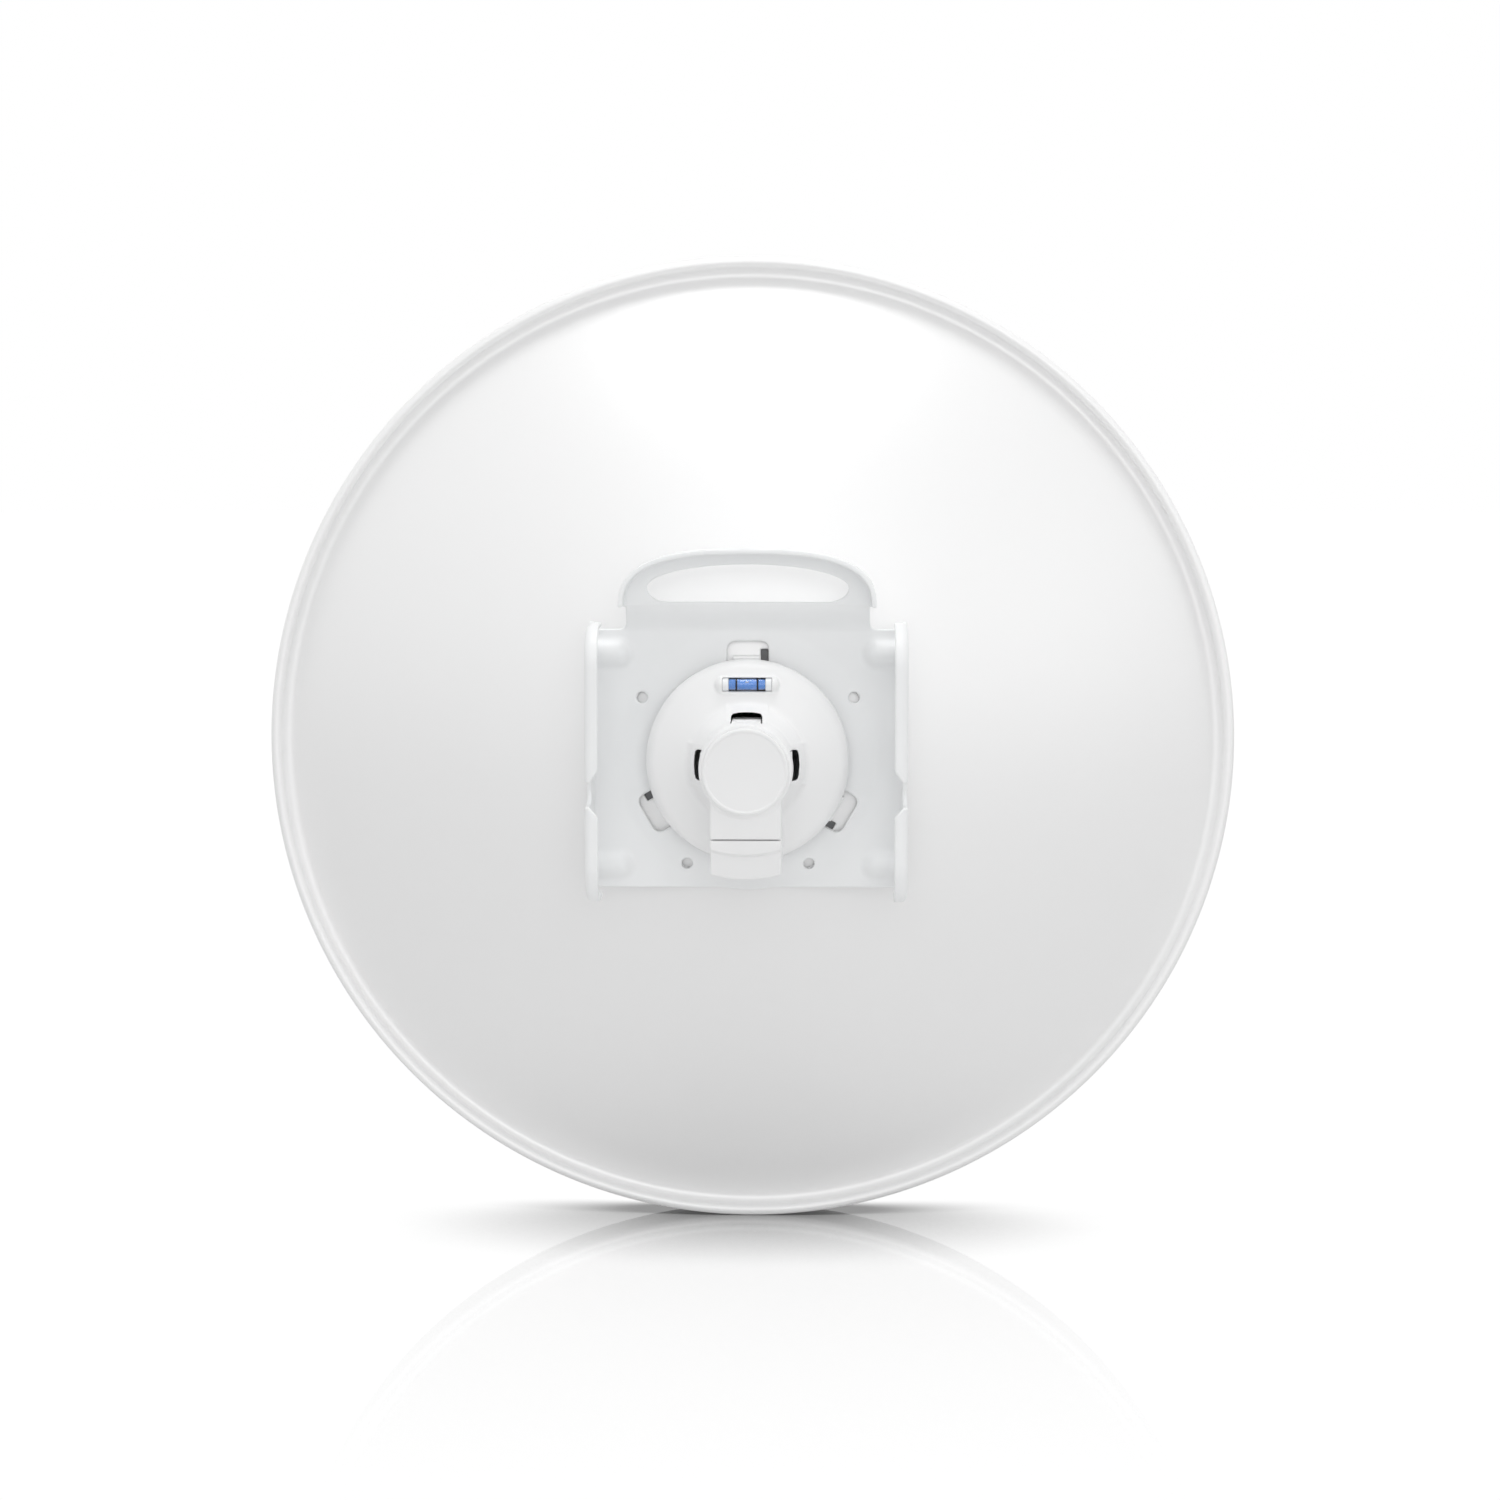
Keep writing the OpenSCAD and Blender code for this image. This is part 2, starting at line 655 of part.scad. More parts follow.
module crossed_dipoles() color("goldenrod") {
    translate([0, 153, 0]) rotate([90, 0, 0]) cylinder(r = 2.4, h = 12.38, $fn = 48);
    for (a = [0, 90]) rotate([0, a + 45, 0]) block([-13, 13], [151, 153], [-1.6, 1.6]);
}

module subreflector() color("silver")
    spun([[0, 163.4], [6, 165.4], [31.8, 168], [31.8, 169], [6, 166.4], [0, 164.4]]);

module foam_spacer() color("ivory")
    spun([[9, 167.1], [24, 168.6], [24, 172], [16, 173.4], [9, 173.8]]);

module feed_flare() color("white") spun([
    [tube_r + 0.05, flare_start], [tube_r + 1.7, flare_start], [tube_r + 2.2, 147.5],
    [feed_cap_r, flare_end - 1.6], [feed_cap_r, flare_end], [feed_cap_r - shell_t, flare_end],
    [feed_cap_r - shell_t, flare_end - 0.8], [tube_r + 1.5, tube_front + 0.1],
    [tube_r + 0.05, tube_front + 0.1]]);

module flare_seal() color("dimgray") o_ring(tube_in + 1.32, 0.7, 146);

function cap_profile(r, tip) = [for (i = [0:12]) let (w = 90 * i / 12)
    [r * cos(w), cap_edge + (tip - cap_edge) * sin(w)]];

module feed_cap() color("white") spun(concat(
    [[feed_cap_r, flare_end + 0.02]], cap_profile(feed_cap_r, feed_tip),
    backwards(cap_profile(feed_cap_r - shell_t, feed_tip - shell_t)),
    [[feed_cap_r - shell_t, flare_end + 0.02]]));

// ---- Spirit level ----

module along_level() translate([0, -vial_d, level_z]) rotate([0, 90, 0]) children();

module level_vial() color("lightblue", 0.5) along_level() difference() {
    cylinder(r = vial_r, h = vial_l - 5.4, center = true);
    cylinder(r = vial_r - vial_wall, h = vial_l, center = true);
}

module level_caps() color("white") along_level() for (s = [-1, 1])
    translate([0, 0, s * (vial_l / 2 - 1.34)]) cylinder(r = vial_r, h = 2.66, center = true);

module level_liquid() color("royalblue") difference() {
    along_level() cylinder(r = vial_r - vial_wall - 0.01, h = vial_l - 5.42, center = true);
    bubble_space(0);
}

module bubble_space(i) translate([0, -vial_d - 0.6, level_z + vial_r - vial_wall - 1.25]) sphere(1.1 - i);

module level_bubble() color("white") bubble_space(0.02);

module level_marks() color("black") along_level() for (s = [-1, 1])
    translate([0, 0, s * mark_gap / 2]) difference() {
        cylinder(r = vial_r + 0.04, h = 0.6, center = true);
        cylinder(r = vial_r + 0.005, h = 1, center = true);
    }

// ---- Release tabs ----

module release_tab(a) color("whitesmoke") rotate([0, a, 0]) {
    block([-tab_hw, tab_hw], [-window_root + 0.35, -tab_tip], [tab_in, tab_out]);
    block([-tab_hw, tab_hw], [-tab_tip - 1.6, -tab_tip], [tab_in - 1.2, tab_out]);
}

module release_tab_top() release_tab(0);

module release_tab_left() release_tab(-90);

module release_tab_right() release_tab(90);

// ---- Nodes ----

place() mount_bracket();
place() reflector_dish();
place() hub_gasket();
place() rear_housing();
place() rear_cap();
place() cap_seal();
place() feed_tube();
place() base_seal();
place() housing_screws();
place() main_board();
place() board_screws();
place() shield_cans();
place() heat_spreader();
place() thermal_pad();
place() ethernet_transformer();
place() rj45_jack();
place() jack_contacts();
place() jack_gasket();
place() vent_plug();
place() reset_switch();
place() reset_plunger();
place() feed_board();
place() coax_jumpers();
place() crossed_dipoles();
place() subreflector();
place() foam_spacer();
place() feed_flare();
place() flare_seal();
place() feed_cap();
place() level_vial();
place() level_caps();
place() level_liquid();
place() level_bubble();
place() level_marks();
place() release_tab_top();
place() release_tab_left();
place() release_tab_right();
place() port_cover();
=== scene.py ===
"""Looks of an outdoor wireless bridge: a dish radio seen from behind, on its rim on a pale floor."""

import logging
import math
from dataclasses import dataclass
from enum import Enum
from functools import reduce
from typing import Sequence, Tuple, Union

import bmesh
import bpy
import numpy as np
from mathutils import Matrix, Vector


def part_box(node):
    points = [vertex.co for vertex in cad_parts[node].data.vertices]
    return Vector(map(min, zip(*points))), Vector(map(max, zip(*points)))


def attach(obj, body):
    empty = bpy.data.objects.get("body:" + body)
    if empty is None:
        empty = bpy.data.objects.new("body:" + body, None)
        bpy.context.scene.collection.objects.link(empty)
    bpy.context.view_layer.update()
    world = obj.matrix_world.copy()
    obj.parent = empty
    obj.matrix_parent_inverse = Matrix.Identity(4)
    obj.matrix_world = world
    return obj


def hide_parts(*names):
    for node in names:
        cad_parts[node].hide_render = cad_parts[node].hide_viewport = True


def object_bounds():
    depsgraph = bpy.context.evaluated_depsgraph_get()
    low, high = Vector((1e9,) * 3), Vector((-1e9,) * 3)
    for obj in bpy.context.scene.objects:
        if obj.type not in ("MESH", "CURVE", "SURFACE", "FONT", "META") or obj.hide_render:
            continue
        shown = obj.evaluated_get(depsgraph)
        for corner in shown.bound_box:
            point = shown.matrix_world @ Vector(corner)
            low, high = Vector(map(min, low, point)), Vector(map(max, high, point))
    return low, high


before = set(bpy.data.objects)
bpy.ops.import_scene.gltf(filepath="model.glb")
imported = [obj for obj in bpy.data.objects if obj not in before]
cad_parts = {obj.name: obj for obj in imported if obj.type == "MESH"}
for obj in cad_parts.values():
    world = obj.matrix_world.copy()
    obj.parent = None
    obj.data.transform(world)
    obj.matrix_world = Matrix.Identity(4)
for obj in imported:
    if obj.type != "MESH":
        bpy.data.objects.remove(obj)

Array = np.ndarray
Tree = bpy.types.NodeTree
Socket = bpy.types.NodeSocket
Point = Tuple[float, float, float]
LOG = logging.getLogger("bridge")
MM = 0.001
CAD_BOX = [list(corner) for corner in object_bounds()]
ROOT = "antenna"
FEED_REACH = 178.0
DOUBLED = 2e-6
SHADING_WEIGHT = 60
DEGENERATE = 1e-7
WHITE = (1, 1, 1, 1)
EDGE_POINTINESS = (0.53, 0.60)
NOISE_SPREAD = (0.3, 0.7)
THIRDS = np.radians((0, 120, 240))
FULL_TURN = 2 * np.pi


def vertex_place() -> Array:
    """Place of the reflector's vertex in the row frame, in metres.

    Returns:
        The middle of the dish across and up, and the feed's reach behind the feed's tip.
    """
    low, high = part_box("reflector_dish")
    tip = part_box("feed_cap")[1][1]
    return np.array([(low[0] + high[0]) / 2, tip - FEED_REACH * MM, (low[2] + high[2]) / 2])


VERTEX = vertex_place()


# ---- Shapes as signed distances: negative inside, in millimetres, counted from the reflector's vertex ----


@dataclass(frozen=True)
class Grid:
    """A regular grid of sample points, held as three open axes.

    Attributes:
        low: lowest corner, in millimetres.
        high: highest corner, in millimetres.
        step: distance between samples, in millimetres.
    """

    low: Point
    high: Point
    step: float

    def axes(self) -> Tuple[Array, Array, Array]:
        """The x, y and z samples, shaped so that they broadcast to the whole grid."""
        lines = [np.arange(a, b + self.step, self.step) for a, b in zip(self.low, self.high)]
        return lines[0][:, None, None], lines[1][None, :, None], lines[2][None, None, :]


def join(a: Array, b: Array, blend: float = 0.0) -> Array:
    """Union of two shapes: the smaller distance, less a parabola where they lie within the blend."""
    if blend <= 0:
        return np.minimum(a, b)
    share = np.clip(0.5 + 0.5 * (b - a) / blend, 0, 1)
    return b + (a - b) * share - blend * share * (1 - share)


def common(a: Array, b: Array, radius: Union[float, Array] = 0.0) -> Array:
    """Intersection of two shapes: the larger distance, with a convex edge rounded to the radius given."""
    u, v = a + radius, b + radius
    return np.minimum(np.maximum(u, v), 0) + np.hypot(np.maximum(u, 0), np.maximum(v, 0)) - radius


def cut(a: Array, b: Array, blend: float = 0.0) -> Array:
    """Shape a with shape b taken out: the intersection of a with the outside of b."""
    return -join(-a, b, blend)


def either(*shapes: Array) -> Array:
    """Sharp union of shapes: the least of their distances."""
    return reduce(np.minimum, shapes)


def both(*shapes: Array) -> Array:
    """Sharp intersection of shapes: the greatest of their distances."""
    return reduce(np.maximum, shapes)


def eased(share: Array, height: float = 1.0) -> Array:
    """A smooth step to a height h over a share s from 0 to 1: h s^2 (3 - 2 s)."""
    return height * share * share * (3 - 2 * share)


def facing(x: Array, z: Array, angle: float) -> Tuple[Array, Array]:
    """The axes turned about the boresight: across and outwards at an angle clockwise from the top."""
    return x * math.cos(angle) - z * math.sin(angle), x * math.sin(angle) + z * math.cos(angle)


def slab(u: Array, low: float, high: float) -> Array:
    """Distance to the space between two parallel planes."""
    return np.abs(u - (low + high) / 2) - (high - low) / 2


def block(x: Array, y: Array, z: Array, low: Point, high: Point, radius: float = 0.0) -> Array:
    """Distance to a box with rounded edges: the overshoot past a box shrunk by the radius, less the radius.

    Args:
        x, y, z: sample axes.
        low: lowest corner.
        high: highest corner.
        radius: radius of the edges.

    Returns:
        The signed distance over the grid.
    """
    over = [slab(u, a, b) + radius for u, a, b in zip((x, y, z), low, high)]
    outside = np.sqrt(sum(np.maximum(o, 0) ** 2 for o in over))
    return outside + np.minimum(both(*over), 0) - radius


def outline(points: Array, u: Array, v: Array) -> Array:
    """Distance in a plane to a closed outline: the least to a side, negative where a ray crosses it oddly.

    Args:
        points: corners of the outline, one row each.
        u, v: sample axes of the plane, which broadcast together.

    Returns:
        The signed distance over the plane.
    """
    u, v = np.broadcast_arrays(u, v)
    best = np.full(u.shape, 1e9)
    odd = np.zeros(u.shape, bool)
    for (au, av), (bu, bv) in zip(points, np.roll(points, -1, axis=0)):
        du, dv = bu - au, bv - av
        along = np.clip(((u - au) * du + (v - av) * dv) / max(du * du + dv * dv, 1e-12), 0, 1)
        best = np.minimum(best, (u - au - along * du) ** 2 + (v - av - along * dv) ** 2)
        crosses = (av > v) != (bv > v)
        odd ^= crosses & (u < au + (v - av) * du / (dv if abs(dv) > 1e-12 else 1e-12))
    return np.where(odd, -1, 1) * np.sqrt(best)


def steepness(depth: Array, step: float, axes: Tuple[int, int]) -> Array:
    """How much longer a sheet is than its flat plan: sqrt(1 + a^2 + b^2), with its slopes a and b."""
    first, second = (np.gradient(depth, step, axis=axis) for axis in axes)
    return np.sqrt(1 + first ** 2 + second ** 2)


def turned(points: Array, x: Array, y: Array, z: Array, fine: float = 0.25) -> Array:
    """Distance to a body of revolution about the boresight, read from a table of its half section.

    Args:
        points: half section, as rows of radius and y.
        x, y, z: sample axes.
        fine: distance between the table's radii.

    Returns:
        The signed distance over the grid, by straight lines between the table's radii.
    """
    radius = np.hypot(x, z)
    table = outline(points, np.arange(0, radius.max() + 2 * fine, fine)[:, None], y.reshape(1, -1))
    place = radius / fine
    first = place.astype(int)
    share = place - first
    column = np.arange(y.size)[None, :, None]
    return table[first, column] * (1 - share) + table[first + 1, column] * share


def arc(cu: float, cv: float, radius: float, start: float, end: float, count: int = 16) -> Array:
    """Points on an arc about (cu, cv), from one angle to another in degrees."""
    angle = np.radians(np.linspace(start, end, count))
    return np.stack([cu + radius * np.cos(angle), cv + radius * np.sin(angle)], axis=1)


def offset(path: Array, distance: float) -> Array:
    """A path moved to its right by a distance, along the normals of its own tangents."""
    tangent = np.gradient(path, axis=0)
    tangent /= np.linalg.norm(tangent, axis=1, keepdims=True)
    return path + distance * np.stack([tangent[:, 1], -tangent[:, 0]], axis=1)


# ---- Meshes ----


def skin(grid: Grid, field: Array) -> Tuple[Array, Array]:
    """Surface of a signed distance field by surface nets.

    Each cell whose corners differ in sign gets one vertex, at the mean of the points where the distance is
    zero on its twelve edges. Each grid edge whose ends differ in sign gets one face, through its four cells.

    Args:
        grid: the grid that the field was sampled on.
        field: distances, one per sample.

    Returns:
        Vertices in millimetres and quadrilateral faces.
    """
    inside = field < 0
    count = corner_count(inside)
    cells = np.argwhere((count > 0) & (count < 8))
    total = np.zeros((len(cells), 3))
    hits = np.zeros(len(cells))
    for axis in range(3):
        others = [a for a in range(3) if a != axis]
        for p in (0, 1):
            for q in (0, 1):
                start = cells.copy()
                start[:, others[0]] += p
                start[:, others[1]] += q
                end = start.copy()
                end[:, axis] += 1
                a, b = field[tuple(start.T)], field[tuple(end.T)]
                crosses = (a < 0) != (b < 0)
                share = np.where(crosses, a / np.where(crosses, a - b, 1), 0)
                point = start.astype(float)
                point[:, axis] += share
                total += point * crosses[:, None]
                hits += crosses
    vertices = total / hits[:, None] * grid.step + np.array(grid.low)
    number = np.full(count.shape, -1, np.int32)
    number[tuple(cells.T)] = np.arange(len(cells))
    faces = []
    for axis in range(3):
        before = np.take(inside, range(inside.shape[axis] - 1), axis=axis)
        after = np.take(inside, range(1, inside.shape[axis]), axis=axis)
        for sign, mask in ((1, before & ~after), (-1, after & ~before)):
            edge = np.argwhere(mask)
            u, v = [a for a in range(3) if a != axis]
            edge = edge[(edge[:, u] > 0) & (edge[:, v] > 0)]
            edge = edge[(edge[:, u] < inside.shape[u] - 1) & (edge[:, v] < inside.shape[v] - 1)]
            ring = []
            for du, dv in ((1, 1), (0, 1), (0, 0), (1, 0)):
                cell = edge.copy()
                cell[:, u] -= du
                cell[:, v] -= dv
                ring.append(number[tuple(cell.T)])
            quad = np.stack(ring, axis=1)
            faces.append(quad if (sign > 0) == (axis != 1) else quad[:, ::-1])
    return vertices, np.concatenate(faces)


def corner_count(inside: Array) -> Array:
    """How many of each cell's eight corners are inside."""
    part = inside.astype(np.int8)
    for axis in range(3):
        n = part.shape[axis]
        part = np.take(part, range(n - 1), axis=axis) + np.take(part, range(1, n), axis=axis)
    return part


def spun(profile: Array, steps: int = 128) -> Tuple[Array, Array]:
    """Surface of revolution about the boresight: each closed profile point swept round a circle.

    Args:
        profile: closed half section, as rows of radius and y.
        steps: sides of the circle.

    Returns:
        Vertices in millimetres and quadrilateral faces.
    """
    turn = np.linspace(0, FULL_TURN, steps, endpoint=False)[:, None]
    radius, y = profile[None, :, 0], profile[None, :, 1]
    points = np.stack([radius * np.sin(turn), y + 0 * turn, radius * np.cos(turn)], axis=-1)
    row, column = np.meshgrid(np.arange(steps), np.arange(len(profile)), indexing="ij")
    next_row, next_column = (row + 1) % steps, (column + 1) % len(profile)
    row, next_row = row * len(profile), next_row * len(profile)
    quads = np.stack([row + column, next_row + column, next_row + next_column, row + next_column], axis=-1)
    return points.reshape(-1, 3), quads.reshape(-1, 4)


def rounded(corners: Sequence[Tuple[float, float]], radius: float, count: int = 6) -> Array:
    """A closed outline with each corner rounded.

    Each corner is replaced by a quadratic curve between the points that lie the radius, or at most
    0.45 of the side, along its two sides.

    Args:
        corners: corners of the outline.
        radius: how far from the corner the rounding starts.
        count: points on each rounded corner.

    Returns:
        The rounded outline, one row per point.
    """
    corner = np.array(corners, float)
    before, after = np.roll(corner, 1, axis=0) - corner, np.roll(corner, -1, axis=0) - corner
    length_b = np.linalg.norm(before, axis=1, keepdims=True)
    length_a = np.linalg.norm(after, axis=1, keepdims=True)
    start = corner + before / length_b * np.minimum(radius, 0.45 * length_b)
    end = corner + after / length_a * np.minimum(radius, 0.45 * length_a)
    t = np.linspace(0, 1, count)[None, :, None]
    curve = (1 - t) ** 2 * start[:, None] + 2 * t * (1 - t) * corner[:, None] + t ** 2 * end[:, None]
    curve = curve.reshape(-1, 2)
    axis_corner = np.repeat(corner[:, 0] <= 1e-6, count)
    curve[axis_corner] = np.repeat(corner, count, axis=0)[axis_corner]
    return curve


def make_piece(name: str, surface: Tuple[Array, Array]) -> bpy.types.Object:
    """A mesh object from arrays, placed in the row frame, with poles closed and faces turned outwards.

    Args:
        name: name of the piece.
        surface: vertices in millimetres from the reflector's vertex, and faces.

    Returns:
        The new object, linked to the scene and shaded smooth.
    """
    vertices, faces = surface
    mesh = bpy.data.meshes.new(name)
    mesh.from_pydata((vertices * MM + VERTEX).tolist(), [], faces.tolist())
    work = bmesh.new()
    work.from_mesh(mesh)
    bmesh.ops.remove_doubles(work, verts=work.verts, dist=DOUBLED)
    bmesh.ops.dissolve_degenerate(work, edges=work.edges, dist=DEGENERATE)
    bmesh.ops.recalc_face_normals(work, faces=work.faces)
    work.to_mesh(mesh)
    work.free()
    mesh.shade_smooth()
    piece = bpy.data.objects.new(name, mesh)
    bpy.context.scene.collection.objects.link(piece)
    return piece


def show(name: str, surface: Tuple[Array, Array], finish: "Finish", nodes: Sequence[str],
         keep: float = 1.0, body: str = ROOT) -> None:
    """Makes a piece, gives it its finish and its body, and hides the CAD nodes that it stands for.

    Args:
        name: name of the piece.
        surface: vertices in millimetres from the reflector's vertex, and faces.
        finish: its finish.
        nodes: the CAD nodes that it stands for.
        keep: share of the triangles to keep; flat stretches give theirs up first.
        body: the body that it rides on.
    """
    piece = make_piece(name, surface)
    if keep < 1:
        piece.modifiers.new("fewer_faces", "DECIMATE").ratio = keep
        piece.modifiers.new("even_shading", "WEIGHTED_NORMAL").weight = SHADING_WEIGHT
    piece.data.materials.append(finish.material())
    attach(piece, body)
    if nodes:
        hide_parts(*nodes)
    LOG.info("made %s: %d faces, on %s", name, len(piece.data.polygons), body)


# ---- Finishes ----


def add_node(tree: Tree, kind: str, **values: Union[float, Tuple[float, ...]]) -> bpy.types.Node:
    """A new shader node with values on its sockets, whose names have underscores for spaces."""
    node = tree.nodes.new("ShaderNode" + kind)
    for name, value in values.items():
        node.inputs[name.replace("_", " ")].default_value = value
    return node


def first_node(tree: Tree, kind: str) -> bpy.types.Node:
    """The first node of a type that the tree already holds."""
    return next(n for n in tree.nodes if n.type == kind)


def mixed_shader(tree: Tree, share: Socket, first: Socket, second: Socket) -> Socket:
    """Two shaders mixed by a share."""
    node = add_node(tree, "MixShader")
    for number, source in enumerate((share, first, second)):
        tree.links.new(source, node.inputs[number])
    return node.outputs[0]


class Pattern(Enum):
    """Fine relief of a surface, as the number of noise cells in a metre."""

    ORANGE_PEEL = 900.0
    SPARK = 1900.0
    FLOW = 260.0


@dataclass(frozen=True)
class Finish:
    """A surface finish with relief, mottling and lighter convex edges (a painted highlight, which on the bare
    metals also stands for rubbed edges), all made from noise on object coordinates.

    Attributes:
        name: material name.
        colour: base colour, linear.
        roughness: mean roughness.
        pattern: fine relief.
        relief: height of the relief, in metres.
        mottle: how far the colour and roughness drift, as a share.
        metallic: 1 for bare metal.
        clear: transmission weight.
        coat: weight of a clear coat.
        edge_highlight_and_rub: how much lighter the convex edges are; a painted highlight along the edges,
            and rubbed edges on the bare metals.
        ior: index of refraction.
        glow_through: subsurface weight.
    """

    name: str
    colour: Tuple[float, float, float]
    roughness: float
    pattern: Pattern
    relief: float = 2e-5
    mottle: float = 0.03
    metallic: float = 0.0
    clear: float = 0.0
    coat: float = 0.0
    edge_highlight_and_rub: float = 0.0
    ior: float = 1.5
    glow_through: float = 0.0

    def material(self) -> bpy.types.Material:
        """The material, made once and then shared.

        Returns:
            A node material: fine noise as bump, slow noise as colour and roughness drift, pointiness as
                lighter convex edges, a painted highlight that on the bare metals also stands for rubbed
                edges.
        """
        if self.name in bpy.data.materials:
            return bpy.data.materials[self.name]
        material = bpy.data.materials.new(self.name)
        material.use_nodes = True
        tree = material.node_tree
        link = tree.links.new
        shader = first_node(tree, "BSDF_PRINCIPLED")
        place = add_node(tree, "TexCoord").outputs["Object"]
        for socket, value in (("Metallic", self.metallic), ("Transmission Weight", self.clear),
                              ("Coat Weight", self.coat), ("Coat Roughness", 0.08), ("IOR", self.ior),
                              ("Subsurface Weight", self.glow_through), ("Subsurface Scale", 0.002)):
            shader.inputs[socket].default_value = value
        slow = self.noise(tree, place, 14.0, 3.0)
        fine = self.noise(tree, place, self.pattern.value, 2.0)
        speck = self.noise(tree, place, self.pattern.value * 2.3, 1.0)
        tint = self.mixed(tree, slow, self.shade(1 + self.mottle))
        tint.inputs["A"].default_value = self.shade(1 - self.mottle)
        # Pointiness lightens the convex edges: a painted highlight, and on the bare metals rubbed edges as
        # well.
        edge = add_node(tree, "NewGeometry").outputs["Pointiness"]
        edge = self.ranged(tree, edge, *EDGE_POINTINESS, 0.0, self.edge_highlight_and_rub)
        lit_edge_tint = self.mixed(tree, edge, self.shade(1.25, 0.02))
        link(tint.outputs["Result"], lit_edge_tint.inputs["A"])
        link(lit_edge_tint.outputs["Result"], shader.inputs["Base Color"])
        drift = 3 * self.mottle
        link(self.ranged(tree, speck, *NOISE_SPREAD, self.roughness * (1 - drift),
                         min(self.roughness * (1 + drift), 1)), shader.inputs["Roughness"])
        bump = add_node(tree, "Bump", Strength=0.6, Distance=self.relief)
        link(fine, bump.inputs["Height"])
        link(bump.outputs["Normal"], shader.inputs["Normal"])
        return material

    def shade(self, factor: float, lift: float = 0.0) -> Tuple[float, ...]:
        """The base colour times a factor, plus a lift, held at 1."""
        return (*[min(c * factor + lift, 1) for c in self.colour], 1)

    @staticmethod
    def mixed(tree: Tree, share: Socket, second: Tuple[float, ...]) -> bpy.types.Node:
        """A colour mix by a share, with its second colour set and its first left free."""
        node = add_node(tree, "Mix")
        node.data_type = "RGBA"
        node.inputs["B"].default_value = second
        tree.links.new(share, node.inputs["Factor"])
        return node

    @staticmethod
    def noise(tree: Tree, place: Socket, scale: float, detail: float) -> Socket:
        """A noise texture's value at a scale in cells per metre."""
        node = add_node(tree, "TexNoise", Scale=scale, Detail=detail)
        tree.links.new(place, node.inputs["Vector"])
        return node.outputs["Fac"]

    @staticmethod
    def ranged(tree: Tree, value: Socket, from_low: float, from_high: float, to_low: float, to_high: float
               ) -> Socket:
        """A value carried linearly from one range to another, held at its ends."""
        node = add_node(tree, "MapRange", From_Min=from_low, From_Max=from_high,
                        To_Min=to_low, To_Max=to_high)
        tree.links.new(value, node.inputs["Value"])
        return node.outputs["Result"]


BRACKET_COAT = Finish("bracket_powder_coat", (0.94, 0.95, 0.955), 0.42, Pattern.ORANGE_PEEL, 2.5e-5, 0.02,
                      edge_highlight_and_rub=0.25)
# The dish has the same white powder coat as the bracket, set darker here: a painted shade that dims the whole
# dish.
SHADED_DISH_COAT = Finish("dish_powder_coat", (0.785, 0.788, 0.791), 0.45, Pattern.ORANGE_PEEL, 2.5e-5, 0.015,
                   edge_highlight_and_rub=0.2)
SHELL_PLASTIC = Finish("shell_plastic", (0.95, 0.952, 0.954), 0.38, Pattern.SPARK, 1.2e-5, 0.02, edge_highlight_and_rub=0.2)
DISC_PLASTIC = Finish("disc_plastic", (0.93, 0.932, 0.934), 0.5, Pattern.SPARK, 1.5e-5, 0.02, edge_highlight_and_rub=0.2)
END_PLASTIC = Finish("level_end_plastic", (0.90, 0.915, 0.93), 0.15, Pattern.FLOW, 0.4e-5, 0.02, ior=1.49)
BLACK_RUBBER = Finish("black_rubber", (0.03, 0.03, 0.03), 0.7, Pattern.SPARK, 2e-5, 0.06)
GREY_RUBBER = Finish("grey_rubber", (0.18, 0.18, 0.18), 0.75, Pattern.SPARK, 2e-5, 0.06)
BLACK_PLASTIC = Finish("black_plastic", (0.02, 0.02, 0.02), 0.35, Pattern.SPARK, 1e-5, 0.05)
TUBE_ACRYLIC = Finish("level_acrylic", (0.97, 0.98, 1.0), 0.02, Pattern.FLOW, 0.2e-5, 0.01, clear=1.0,
                      ior=1.49)
BLUE_SPIRIT = Finish("blue_spirit", (0.11, 0.36, 0.97), 0.25, Pattern.FLOW, 0.2e-5, 0.04, ior=1.36)
# The bubble is an opaque pale body: its pale colour is a painted highlight for the light that the bubble's
# wall throws back.
BUBBLE_SHEEN = Finish("air_bubble", (0.72, 0.85, 1.0), 0.2, Pattern.FLOW, 0.2e-5, 0.01, ior=1.2)
INK = Finish("mark_ink", (0.01, 0.01, 0.012), 0.4, Pattern.SPARK, 0.5e-5, 0.05)
BOARD = Finish("board_mask", (0.01, 0.12, 0.04), 0.3, Pattern.FLOW, 1e-5, 0.12, coat=0.5)
TIN = Finish("tinned_steel", (0.62, 0.62, 0.60), 0.3, Pattern.FLOW, 1e-5, 0.06, metallic=1.0, edge_highlight_and_rub=0.2)
ZINC = Finish("zinc_plate", (0.58, 0.60, 0.64), 0.35, Pattern.SPARK, 1e-5, 0.06, metallic=1.0, edge_highlight_and_rub=0.2)
ALUMINIUM = Finish("aluminium", (0.80, 0.81, 0.82), 0.38, Pattern.SPARK, 1e-5, 0.04, metallic=1.0, edge_highlight_and_rub=0.2)
GOLD = Finish("gold_plate", (0.90, 0.66, 0.26), 0.22, Pattern.FLOW, 0.5e-5, 0.03, metallic=1.0)
BRASS = Finish("copper_brass", (0.78, 0.52, 0.26), 0.32, Pattern.FLOW, 1e-5, 0.08, metallic=1.0)
SILICONE = Finish("thermal_silicone", (0.36, 0.50, 0.62), 0.7, Pattern.SPARK, 3e-5, 0.05)
FOAM = Finish("cream_foam", (0.80, 0.74, 0.58), 0.95, Pattern.ORANGE_PEEL, 2e-4, 0.06)

